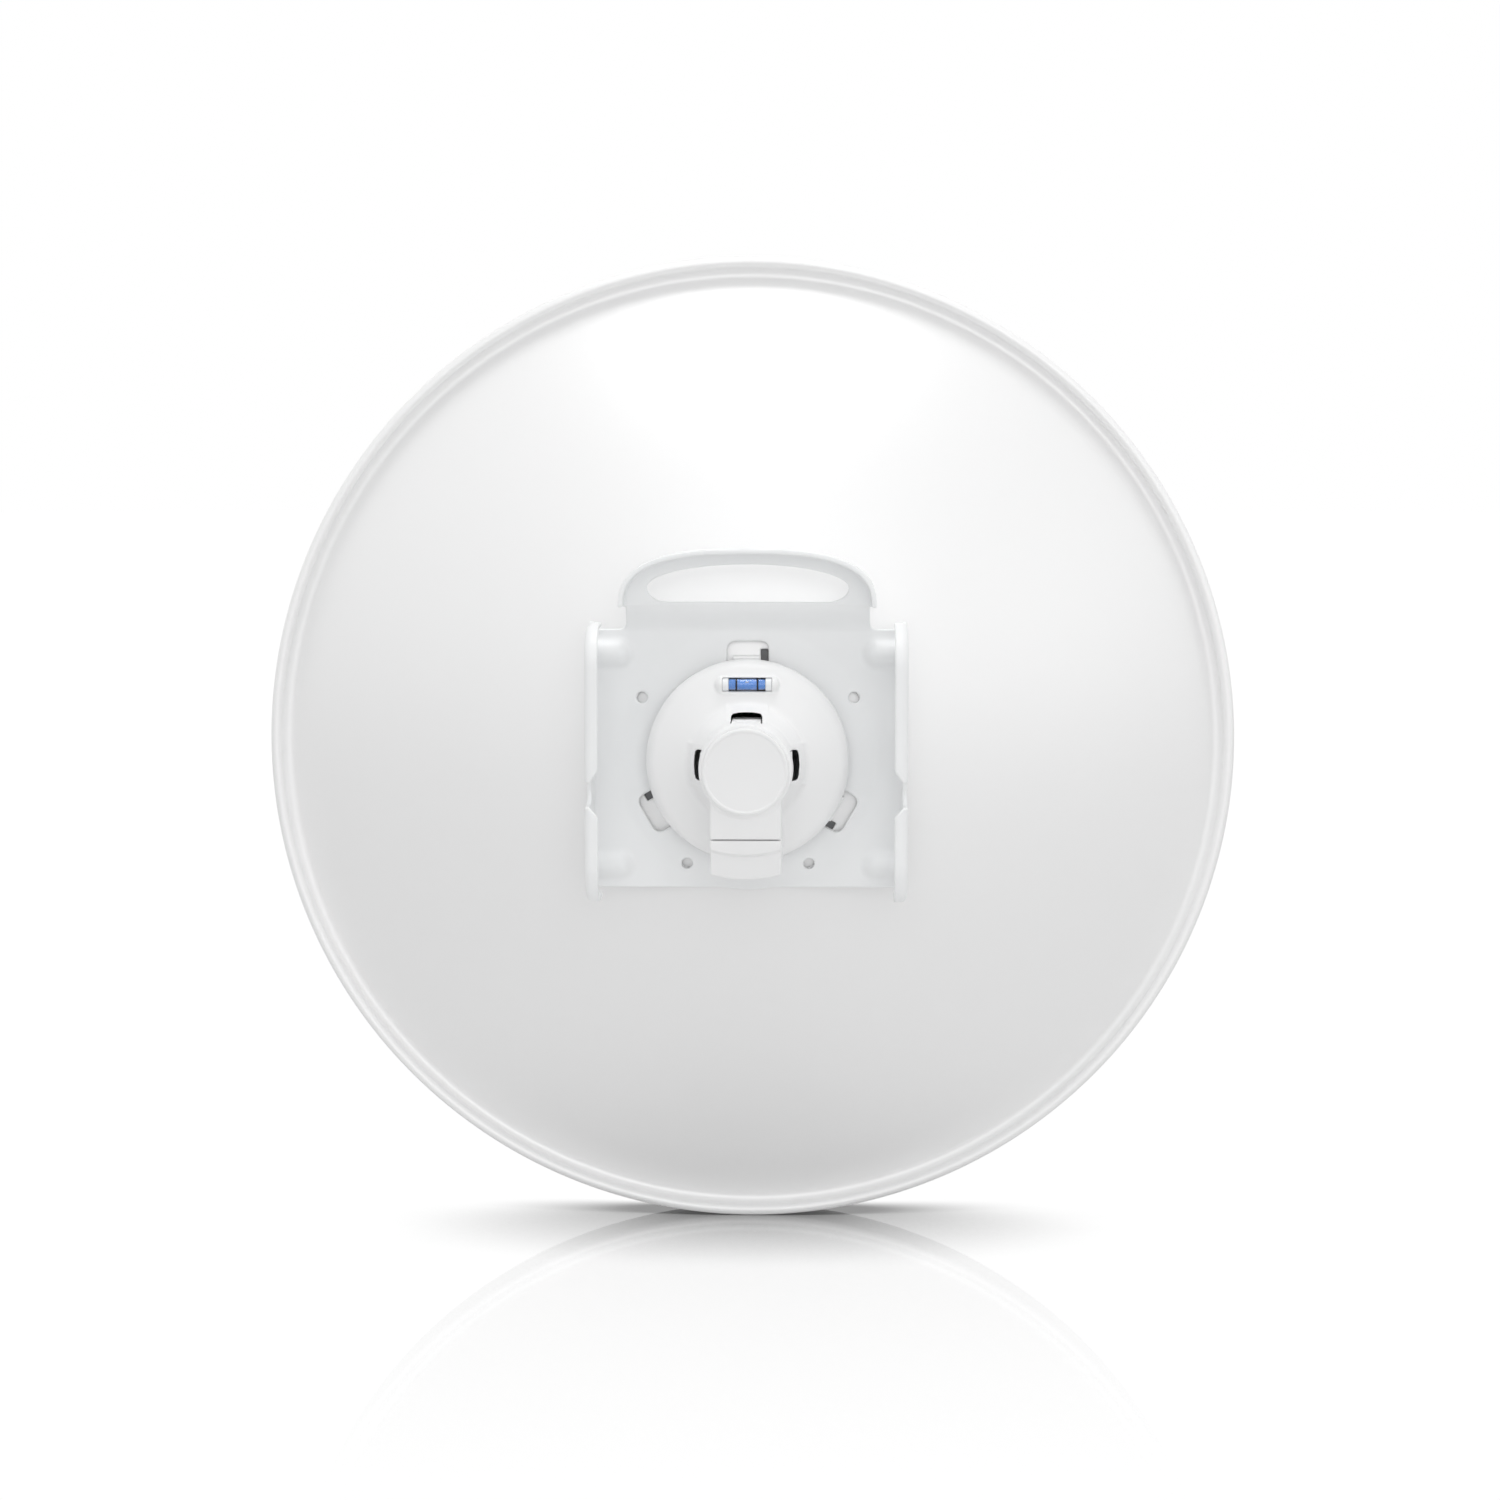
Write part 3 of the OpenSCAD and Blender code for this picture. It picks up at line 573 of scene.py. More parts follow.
CARRIED = {
    "cap_seal": BLACK_RUBBER, "base_seal": BLACK_RUBBER, "flare_seal": BLACK_RUBBER,
    "jack_gasket": GREY_RUBBER,
    "vent_plug": BLACK_RUBBER, "housing_screws": ZINC, "board_screws": ZINC, "main_board": BOARD,
    "feed_board": BOARD, "shield_cans": TIN, "rj45_jack": TIN, "reset_switch": TIN, "jack_contacts": GOLD,
    "heat_spreader": ALUMINIUM, "subreflector": ALUMINIUM, "thermal_pad": SILICONE,
    "ethernet_transformer": BLACK_PLASTIC, "reset_plunger": BLACK_PLASTIC, "coax_jumpers": BLACK_PLASTIC,
    "crossed_dipoles": BRASS, "foam_spacer": FOAM,
}


# ---- Pieces ----


@dataclass(frozen=True)
class Reflector:
    """The pressed dish: bowl, rolled valley, turned-back skirt with a beaded edge, three lugs at the hub."""

    width: float = 420.0
    depth: float = 80.0
    sheet: float = 1.2
    gap: float = 1.8
    lip: float = 3.4
    valley: float = 3.6
    bead: float = 1.5
    skirt: float = 22.0
    hub_hole: float = 35.5
    hub_edge: float = 53.0
    relief_u: Tuple[float, float] = (5.3, 8.5)
    relief_w: Tuple[float, float] = (36.5, 45.5)

    def focal(self) -> float:
        """Focal length that gives the fold its depth."""
        return (self.width / 2 - self.sheet / 2 - self.gap) ** 2 / (4 * self.depth)

    def height(self, r: Array) -> Array:
        """y of the sheet's middle at a radius r: r^2 / 4f, plus half the sheet."""
        return r * r / (4 * self.focal()) + self.sheet / 2

    def section(self) -> Array:
        """Half section of the sheet.

        Returns:
            A closed outline: the parabola, an arc over the valley, a round lip, a skirt and a bead, each
            moved half the sheet's thickness to both sides and closed by half circles.
        """
        skirt_r = self.width / 2 - self.sheet / 2
        lip_r = skirt_r - self.lip
        lean = math.atan(lip_r / (2 * self.focal()))
        bowl_r = lip_r - self.valley - self.valley * math.sin(lean)
        valley_y = self.height(bowl_r) - self.valley * math.cos(lean)
        fold_y = valley_y - 1.6
        r = np.linspace(self.hub_edge, bowl_r, 90)
        path = np.concatenate([
            np.stack([r, self.height(r)], axis=1),
            arc(lip_r - self.valley, valley_y, self.valley, 90 + math.degrees(lean) - 4, 0, 14),
            arc(lip_r + self.lip / 2, fold_y, self.lip / 2, 180, 360, 18),
            arc(skirt_r - self.bead, fold_y + self.skirt - self.bead, self.bead, 0, 180, 12)])
        half = self.sheet / 2
        end, back = path[-1], path[-1] - path[-2]
        turn = math.degrees(math.atan2(back[1], back[0]))
        start_turn = math.degrees(math.atan2(*(path[0] - path[1])[::-1]))
        return np.concatenate([offset(path, half), arc(*end, half, turn - 90, turn + 90, 6),
                               offset(path, -half)[::-1],
                               arc(*path[0], half, start_turn - 90, start_turn + 90, 6)])

    def hub(self) -> Tuple[Array, Array]:
        """The middle of the dish, by signed distance.

        Returns:
            The sheet between the hub's hole and its edge, with three relief holes, and at each a hook made
            of a riser, a tab and a foot.
        """
        grid = Grid((-54.5, -3, -54.5), (54.5, 7.5, 54.5), 0.4)
        x, y, z = grid.axes()
        radius = np.hypot(x, z)
        lean = np.sqrt(1 + (radius / (2 * self.focal())) ** 2)
        ring = np.maximum(radius - self.hub_edge, self.hub_hole - radius)
        field = common(np.abs(y - self.height(radius)) / lean - self.sheet / 2, ring, 0.1)
        for angle in THIRDS:
            u, w = facing(x, z, angle)
            field = np.maximum(field, -np.maximum(slab(u, *self.relief_u), slab(w, *self.relief_w)))
            hook = join(block(u, y, w, (-6.1, -1.6, 41.7), (5.3, 4.0, 42.9), 0.3),
                        join(block(u, y, w, (-6.1, -1.6, 38), (5.3, -0.4, 42.9), 0.3),
                             block(u, y, w, (-11.3, -1.6, 38), (-5.1, -0.4, 40.9), 0.3)), 0.4)
            field = np.minimum(field, hook)
        return skin(grid, field)

    def build(self) -> None:
        """Makes the dish and its hub."""
        show("dish_bowl", spun(self.section(), 288), SHADED_DISH_COAT, ["reflector_dish"])
        show("dish_hub", self.hub(), SHADED_DISH_COAT, [], 0.5)


@dataclass(frozen=True)
class Bracket:
    """The pressed bracket: plate with a dished middle, side flanges with notches and slots, and a handle."""

    front: float = 4.5
    sheet: float = 2.0
    half_width: float = 66.0
    low: float = -54.4
    high: float = 54.0
    cone_r: float = 54.3
    hole_r: float = 36.5
    cone_drop: float = 2.8
    back: float = -35.0
    flange_half: float = 57.2
    corner: float = 16.0
    lip: float = 5.5
    bend: float = 2.8
    neck_half: float = 50.6
    set_back: float = 6.2
    handle_half: float = 53.2
    handle_low: float = 64.0
    handle_top: float = 88.0
    handle_lip: float = 12.0
    power: float = 2.7
    pivot: Tuple[float, float] = (-22.0, -11.5)
    notch_half: float = 5.0
    slot_r: float = 34.0
    slot_half: float = 4.3
    slot_ends: Tuple[float, float] = (math.radians(65), math.radians(93))
    screw_circle: float = 51.0
    screw_hole: float = 2.25
    relief_half: Tuple[float, float] = (8.6, 9.5)
    relief_place: float = 39.5
    relief_corner: float = 3.4
    bump_r: float = 5.5
    bump_heights: Tuple[float, float] = (43.9, -45.1)

    def arch(self, inset: float = 0.0) -> Array:
        """Upper half of the superellipse |x/a|^n + |z/b|^n = 1, closed far below."""
        w = np.linspace(0, np.pi, 97)
        a, b, n = self.handle_half - inset, self.handle_top - self.handle_low - inset, 2 / self.power
        x = a * np.sign(np.cos(w)) * np.abs(np.cos(w)) ** n
        z = self.handle_low + b * np.abs(np.sin(w)) ** n
        return np.concatenate([np.stack([x, z], axis=1), [[-a, 0], [a, 0]]])

    def opening(self) -> Array:
        """Outline of the hand opening: flat below with round corners, and arched above."""
        w = np.radians(np.linspace(0, 180, 49))
        top = np.stack([41.9 * np.cos(w), 71.5 + 9.8 * np.sin(w)], axis=1)
        q = np.radians(np.linspace(0, 90, 10))
        right = np.stack([32.9 + 9 * np.cos(q), 71.5 - 6 * np.sin(q)], axis=1)[1:]
        return np.concatenate([top, np.stack([-right[:, 0], right[:, 1]], axis=1), right[::-1]])

    def middle(self, x: Array, z: Array) -> Array:
        """Depth of the sheet's middle: the plate less the cone's ramp, with a soft crease, and less the step.

        Args:
            x, z: sample axes.

        Returns:
            y of the middle of the sheet over the plane.
        """
        ramp = self.cone_r - np.hypot(x, z)
        crease = np.where(np.abs(ramp) < 1.4, (ramp + 1.4) ** 2 / 5.6, np.maximum(ramp, 0))
        step = np.clip((z - 53) / 12.2, 0, 1)
        slope = self.cone_drop / (self.cone_r - self.hole_r)
        return self.front - self.sheet / 2 - slope * crease - eased(step, self.set_back)

    def plan(self, x: Array, z: Array) -> Array:
        """Outline of plate, neck and handle seen from behind, with all its holes taken out."""
        radius = np.hypot(x, z)
        plate = join(common(np.abs(x) - self.half_width - 3, slab(z, self.low, self.high), 0.5),
                     common(np.abs(x) - self.neck_half, slab(z, 40, 68), 0.5), 3.5)
        solid = either(plate, radius - self.cone_r - 1.1, outline(self.arch(), x, z))
        beside = (z < self.handle_low) & (np.abs(x) > self.neck_half - 6) & (z > 48)
        solid = np.where(beside, plate, solid)
        holes = np.minimum(radius - self.hole_r, outline(self.opening(), x, z))
        for angle in np.radians((30, 150, 240, 300)):
            across, up = self.screw_circle * math.cos(angle), self.screw_circle * math.sin(angle)
            holes = np.minimum(holes, np.hypot(x - across, z - up) - self.screw_hole)
        for angle in THIRDS:
            u, w = facing(x, z, angle)
            u, w = np.abs(u) - self.relief_half[0], np.abs(w - self.relief_place) - self.relief_half[1]
            holes = np.minimum(holes, common(u, w, self.relief_corner))
        return np.maximum(solid, -holes)

    def flange(self, ax: Array, y: Array, z: Array) -> Array:
        """One side flange: a shell with rounded bends, its edge turned in, a hook notch and an arc slot.

        Args:
            ax: distance from the middle plane.
            y, z: sample axes.

        Returns:
            The signed distance over the grid.
        """
        mid = (self.back + 60) / 2
        side = common(np.abs(y - mid) - (60 - mid), np.abs(z) - self.flange_half, self.corner)
        share = np.clip((-1.0 - y) / 6, 0, 1)
        outer = common(side, ax - self.half_width, 0.6 + eased(share, self.bend - 0.6))
        outer = common(outer, y - self.front, 0.6)
        inner = common(side + self.sheet, ax - self.half_width + self.sheet, 0.8)
        shell = both(outer, -inner, self.half_width - self.lip - ax)
        shell = cut(shell, np.maximum(ax - self.half_width + self.sheet, -4 - y), 0.5)
        dy, dz = y - self.pivot[0], z - self.pivot[1]
        notch = np.where(dy > 0, np.hypot(dy, dz) - self.notch_half, np.abs(dz) - self.notch_half)
        deep = self.half_width - self.sheet - ax
        taper = both(dz - self.notch_half - deep * 1.38, -dz - self.notch_half - deep * 1.16, y + 31.8, -deep)
        angle = np.clip(np.arctan2(dz, dy), *self.slot_ends)
        slot = np.hypot(dy - self.slot_r * np.cos(angle), dz - self.slot_r * np.sin(angle)) - self.slot_half
        return cut(shell, either(notch, taper, slot), 0.5)

    def surface(self) -> Tuple[Array, Array]:
        """The whole bracket, by joining the signed distances of plate, handle, bumps and flanges."""
        grid = Grid((-67.5, -37, -59.5), (67.5, 6, 90), 0.5)
        x, y, z = (a.astype(np.float32) for a in grid.axes())
        ax = np.abs(x)
        middle = self.middle(x, z)
        sheet = np.abs(y - middle) / steepness(middle, grid.step, (0, 2)) - self.sheet / 2
        plate = common(sheet, self.plan(x, z), 0.5)
        plate = np.maximum(plate, ax - self.half_width)
        rear = self.front - self.set_back
        arch, arch_in = outline(self.arch(), x, z), outline(self.arch(self.sheet), x, z)
        hood = common(arch, y - rear, 2.6)
        hood = both(hood, -common(arch_in, y - rear + self.sheet, 0.9), self.handle_low - z,
                    rear - self.sheet - self.handle_lip - y, -outline(self.opening(), x, z))
        plate = np.where(z > self.handle_low + 1, np.maximum(plate, common(arch, y - rear, 2.6)), plate)
        body = join(plate, hood, 0.6)
        for height in self.bump_heights:
            along = np.clip(ax, 53.9, 70)
            bump = np.sqrt((ax - along) ** 2 + (y - 4.0) ** 2 + (z - height) ** 2) - self.bump_r
            body = join(body, np.maximum(bump, ax - 65), 2.2)
        body = join(body, self.flange(ax, y, z), 2.0)
        body = np.maximum(body, y - np.where(z < 50, self.front, 9.0))
        body = common(body, common(y - self.front, ax - self.half_width, self.bend), 0.0)
        return skin(grid, body.astype(float))

    def build(self) -> None:
        """Makes the bracket."""
        show("pressed_bracket", self.surface(), BRACKET_COAT, ["mount_bracket"], 0.3)


@dataclass(frozen=True)
class Radio:
    """The radio behind the dish: domed housing with neck, window pads, level cradle, chute and trim."""

    dome_r: float = 42.0
    dome_front: float = 2.8
    wall: float = 2.0
    neck_end: float = 47.0
    disc_r: float = 17.5
    disc_back: float = 52.0
    pad_half: float = 8.8
    window_half: float = 6.4
    tab_half: float = 6.0
    chute_half: float = 14.5
    chute_back: float = 46.6
    rail_back: float = -38.0
    seam: float = 28.2
    cover_low: float = 45.4
    level_depth: float = 15.6
    level_z: float = 32.4
    vial_r: float = 2.7
    vial_length: float = 20.4
    mark_gap: float = 8.7
    screw_r: float = 35.4

    def wall_path(self) -> Array:
        """Middle of the housing's wall, as radius and depth: dome side, shoulder, cone, turn and neck."""
        base, lean = self.dome_r - self.wall / 2, 18.0
        shoulder = arc(base - 5, 8, 5, 0, 90 - lean, 12)
        foot_r = 26.0
        foot = shoulder[-1, 1] + (shoulder[-1, 0] - foot_r) * math.tan(math.radians(lean))
        turn = arc(foot_r + 5 * math.sin(math.radians(lean)), foot + 5 * math.cos(math.radians(lean)), 5,
                   -90 - lean, -172, 10)
        neck = [[18.7, 28], [17.9, self.neck_end]]
        return np.concatenate([[[base, self.dome_front]], shoulder, turn, neck])

    def solid(self, inset: float, front: float, back: float) -> Array:
        """Half section enclosed by the wall path moved inwards, between two depths, as radius and y."""
        edge = offset(self.wall_path(), -inset)
        edge = np.concatenate([[[0, front], [edge[0, 0], front]], edge, [[edge[-1, 0], back], [0, back]]])
        return edge * [1, -1]

    def housing(self) -> Tuple[Array, Array]:
        """The housing, by joining and cutting signed distances.

        Returns:
            Dome and neck turned about the boresight, with three window pads, the level's cradle and the chute
            joined by small fillets; the inside, windows, level seat, cover bay and jack opening cut out.
        """
        grid = Grid((-43.5, -48.5, -45.5), (43.5, -1.5, 43.5), 0.42)
        x, y, z = grid.axes()
        ax = np.abs(x)
        outer = turned(self.solid(-1.0, self.dome_front, self.neck_end), x, y, z)
        sides = ((x, z), (z, x), (z, -x))
        pads = [common(outline(self.pad(), y, w), np.abs(u) - self.pad_half, 0.4) for u, w in sides]
        body = join(outer, either(*pads), 0.5)
        half, back = self.chute_half, self.chute_back
        chute = block(x, y, z, (-half, -back, -self.seam), (half, -8, -6), 0.9)
        rails = block(x, y, z, (-half, self.rail_back, -60), (half, -8, 1.5 - self.seam), 0.5)
        lower = common(rails, np.hypot(x, z) - self.cover_low + 1.6, 0.5)
        body = join(body, join(chute, lower, 0), 1.1)
        body = np.maximum(body, y + self.dome_front)
        inside = turned(self.solid(1.0, self.dome_front - 2, self.neck_end + 2), x, y, z)
        windows = [both(common(np.abs(u) - self.window_half, np.hypot(u, w + 4) - 25.6, 1.2), 14.7 - w,
                        slab(y, -36.6, -8)) for u, w in sides]
        room = block(x, y, z, (1.4 - half, 1.8 - back, 1.8 - self.seam), (half - 1.4, -9, -12), 0.6)
        body = cut(body, np.minimum(inside, room), 0.0)
        body = cut(body, either(*windows), 0.6)
        dy, dz = y + self.level_depth, z - self.level_z
        cradle = np.sqrt(np.maximum(ax - 9.75, 0) ** 2 + dy ** 2 + dz ** 2) - 3.4
        body = join(body, cradle, 1.2)
        for angle in np.radians((30, 150, 270)):
            boss = np.hypot(x - self.screw_r * math.cos(angle), z - self.screw_r * math.sin(angle))
            body = np.minimum(body, np.maximum(boss - 2.4, slab(y, -12.2, -6.2)))
            body = np.maximum(body, -np.maximum(boss - 1.3, -11.2 - y))
        reach, along = self.vial_r + 0.05, self.vial_length / 2 + 0.05
        seat = np.minimum(np.hypot(dy, dz) - reach, np.maximum(dy, np.abs(dz) - reach))
        body = cut(body, np.maximum(seat, ax - along), 0.5)
        bay = both(ax - half + 1.4, y + 14, z + self.seam)
        ports = both(slab(x, -6.5, 7.7), slab(y, -41.3, -24.7), slab(z, -33, -6))
        for px, radius in ((11.0, 1.5), (-10.8, 2.1)):
            ports = np.minimum(ports, np.maximum(np.hypot(x - px, y + 35) - radius, slab(z, -40, -24)))
        body = cut(cut(body, bay, 0.4), ports, 0.3)
        return skin(grid, body)

    @staticmethod
    def pad() -> Array:
        """Side view of a window pad, as y and radius: a slope up to a rounded crest, and down to the neck."""
        return np.array([[-9, 13], [-13, 26.2], [-15.4, 25.8], [-18.6, 23.6], [-23, 20.6], [-27, 18.6],
                         [-27, 13]])

    def cover(self) -> Tuple[Array, Array]:
        """The sliding cover: a crowned ledge under the seam, deepest at mid width, over a face that leans in.

        Returns:
            The space before the rear face, which goes from ledge to leaning face by a smooth step, between
            the sides, under the seam and inside the round lower edge, hollowed from the front.
        """
        grid = Grid((-15.5, -48, -46.5), (15.5, -30, -27.5), 0.25)
        x, y, z = grid.axes()
        half, inner, top = self.chute_half - 0.1, self.chute_half - 1.7, -self.seam - 0.3
        under = top - z
        ledge = 5.6 - 2.3 * (x / half) ** 2
        share = eased(np.clip((under - ledge) / 1.7, 0, 1))
        rear = -self.chute_back + 0.5 * (under / 5) ** 2 * (1 - share) + share * (3.9 + 0.30 * (under - 6))
        skin_y = (rear - y) / steepness(rear, grid.step, (2, 0))
        shell = common(skin_y, common(np.abs(x) - half, z - top, 0.35), 0.8)
        shell = common(shell, np.hypot(x, z) - self.cover_low, 0.6)
        shell = np.maximum(shell, np.where(np.abs(x) < inner, y + 32, y - self.rail_back + 0.3))
        hollow = both(skin_y + 1.8, np.abs(x) - inner + 1.4, z - top + 1.4)
        return skin(grid, np.maximum(shell, -hollow))

    def tab(self, angle: float) -> Tuple[Array, Array]:
        """A release tab: a flat spring with rounded edges and a thicker tip, turned to its angle."""
        grid = Grid((-7, -38, 14.5), (7, -13, 19.5), 0.25)
        x, y, z = grid.axes()
        field = join(block(x, y, z, (-self.tab_half, -36.25, 16.5), (self.tab_half, -14, 18.7), 0.45),
                     block(x, y, z, (-self.tab_half, -15.6, 15.3), (self.tab_half, -14, 18.7), 0.45), 0.5)
        ridge = (y + 30) / 1.6
        grip = np.abs(ridge - np.round(np.clip(ridge, -2, 2))) * 1.6
        field = cut(field, np.maximum(np.hypot(grip, z - 18.9) - 0.5, np.abs(x) - 4.2), 0.2)
        points, faces = skin(grid, field)
        turn = math.radians(angle)
        x, z = points[:, 0].copy(), points[:, 2].copy()
        points[:, 0] = x * math.cos(turn) + z * math.sin(turn)
        points[:, 2] = z * math.cos(turn) - x * math.sin(turn)
        return points, faces

    def disc(self) -> Array:
        """Half section of the round rear cap: a plug with a seal groove, and a flange with a step."""
        end, inner = self.neck_end, 16.9
        return np.array([1, -1]) * rounded([
            (0, end - 3.4), (inner - 0.1, end - 3.4), (inner - 0.1, end - 2.6), (inner - 1.7, end - 2.6),
            (inner - 1.7, end - 0.8), (inner - 0.1, end - 0.8), (inner - 0.1, end + 0.1),
            (self.disc_r, end + 0.1), (self.disc_r, self.disc_back - 0.2), (16.4, self.disc_back),
            (15.9, self.disc_back - 0.35),
            (0, self.disc_back - 0.35)], 0.45, 6)

    def along_level(self, profile: Array, steps: int = 64) -> Tuple[Array, Array]:
        """A profile of radius and place across, turned about the level's axis."""
        points, faces = spun(profile, steps)
        return points[:, [1, 0, 2]] + [0, -self.level_depth, self.level_z], faces

    def build_level(self) -> None:
        """Makes the spirit level: acrylic tube, end collars, liquid, bubble and two marks."""
        glass = self.vial_length / 2 - 2.7
        bore = self.vial_r - 0.5
        tube = rounded([(bore, -glass), (self.vial_r, -glass), (self.vial_r, glass), (bore, glass)], 0.15, 3)
        show("level_tube", self.along_level(tube), TUBE_ACRYLIC, ["level_vial"])
        collars = []
        for near, far in ((-glass - 0.03, -glass - 2.68), (glass + 0.03, glass + 2.68)):
            collar = rounded([(0, near), (self.vial_r, near), (self.vial_r, far), (0, far)], 0.5, 5)
            collars.append(self.along_level(collar))
        show("level_collars", merged(collars), END_PLASTIC, ["level_caps"])
        fill, end = bore - 0.06, glass - 0.02
        liquid = self.along_level(rounded([(0, -end), (fill, -end), (fill, end), (0, end)], 0.1, 3))
        show("level_spirit", liquid, BLUE_SPIRIT, ["level_liquid"])
        w = np.linspace(-np.pi / 2, np.pi / 2, 17)
        bubble, faces = self.along_level(np.stack([0.8 * np.cos(w), 1.7 * np.sin(w)], axis=1), 32)
        bubble += [0, -1.22, 0.75]
        show("level_air", (bubble, faces), BUBBLE_SHEEN, ["level_bubble"])
        rings = []
        low, high = self.vial_r + 0.01, self.vial_r + 0.05
        for middle in (-self.mark_gap / 2, self.mark_gap / 2):
            left, right = middle - 0.35, middle + 0.35
            ring = np.array([(low, left), (high, left), (high, right), (low, right)])
            rings.append(self.along_level(ring, 96))
        show("level_lines", merged(rings), INK, ["level_marks"])

    def build(self) -> None:
        """Makes housing, cover, tabs, rear disc and level."""
        show("radio_housing", self.housing(), SHELL_PLASTIC, ["rear_housing"], 0.42)
        show("cable_cover", self.cover(), SHELL_PLASTIC, ["port_cover"], 0.5, "port_cover")
        for name, angle in (("top", 0), ("right", 90), ("left", -90)):
            show(f"press_tab_{name}", self.tab(angle), SHELL_PLASTIC,
                 [f"release_tab_{name}"], 0.5, f"tab_{name}")
        show("rear_disc", spun(self.disc(), 192), DISC_PLASTIC, ["rear_cap"])
        self.build_level()


@dataclass(frozen=True)
class Feed:
    """What stands in front of the dish: base, tube, flare and cap on the boresight, with the hub's gasket."""

    base_r: float = 39.4
    spigot_r: float = 32.6
    tube_r: float = 21.0
    inner_r: float = 19.0
    flare_r: float = 34.5
    shell: float = 1.8
    tip: float = FEED_REACH

    def tube(self) -> Array:
        """Half section of the base with its seal groove, the spigot, a swept foot and the tube."""
        return rounded([
            (30.4, -6), (self.base_r, -6), (self.base_r, -5.3), (38.2, -5.3), (38.2, -3.6),
            (self.base_r, -3.6), (self.base_r, -2.8), (self.spigot_r, -2.8), (self.spigot_r, 8.4),
            (29.6, 11.2), (23.4, 13.6),
            (self.tube_r, 18.5), (self.tube_r, 145.2), (19.6, 145.2), (19.6, 146.8), (self.tube_r, 146.8),
            (self.tube_r, 150), (self.inner_r, 150), (self.inner_r, 16.6), (23, 11.6), (30.4, 8)], 0.5, 5)

    def flare(self) -> Array:
        """Half section of the flare: a collar, a curve that opens outwards, and a rim."""
        t = np.linspace(0, 1, 24)
        outside = np.stack([self.tube_r + 2.2 + 11.3 * t ** 1.25, 147.5 + 13.9 * t], axis=1)
        inside = np.stack([self.tube_r + 1.5 + 10.4 * t ** 1.25, 150.1 + 12.1 * t], axis=1)
        rest = [(self.flare_r, 161.4), (self.flare_r, 163), (32.7, 163)]
        collar = [(self.tube_r + 0.05, 143.3), (self.tube_r + 0.3, 143), (22.5, 143), (22.7, 143.4)]
        return np.concatenate([collar, outside, rest, inside[::-1], [(self.tube_r + 0.05, 150.1)]])

    def cap(self) -> Array:
        """Half section of the cap: a straight skirt and an elliptical dome, as a shell."""
        w = np.radians(np.linspace(0, 90, 40))
        outside = np.stack([self.flare_r * np.cos(w), 170 + (self.tip - 170) * np.sin(w)], axis=1)
        inside = np.stack([(self.flare_r - self.shell) * np.cos(w),
                           170 + (self.tip - self.shell - 170) * np.sin(w)], axis=1)[::-1]
        edge = [(self.flare_r - self.shell, 163.1), (self.flare_r - 0.5, 163.1), (self.flare_r - 0.4, 163.6),
                (self.flare_r, 163.9)]
        return np.concatenate([edge, outside, inside])

    def gasket(self) -> Array:
        """Half section of the moulded ring between hub and spigot, with two raised beads."""
        return rounded([(32.7, 4.1), (35.7, 3.9), (47, 5.7), (47, 7), (46, 7.7), (44.4, 7.2), (42.6, 7.7),
                        (40.8, 7.2), (33.7, 7.7), (32.7, 7)], 0.5, 5)

    def build(self) -> None:
        """Makes tube, flare, cap and gasket."""
        for name, section, node in (("feed_body", self.tube(), "feed_tube"),
                                    ("feed_bell", self.flare(), "feed_flare"),
                                    ("feed_dome", self.cap(), "feed_cap")):
            show(name, spun(section, 192), SHELL_PLASTIC, [node])
        show("hub_ring", spun(self.gasket(), 192), GREY_RUBBER, ["hub_gasket"])


def merged(parts: Sequence[Tuple[Array, Array]]) -> Tuple[Array, Array]:
    """Several surfaces as one, with each part's faces counted on from the vertices before it."""
    starts = np.cumsum([0] + [len(points) for points, _ in parts[:-1]])
    return (np.concatenate([points for points, _ in parts]),
            np.concatenate([faces + start for (_, faces), start in zip(parts, starts)]))


# ---- Studio ----


@dataclass(frozen=True)
class Lamp:
    """A square soft lamp: its place and size in metres, and its power in watts."""

    name: str
    place: Point
    size: float
    power: float


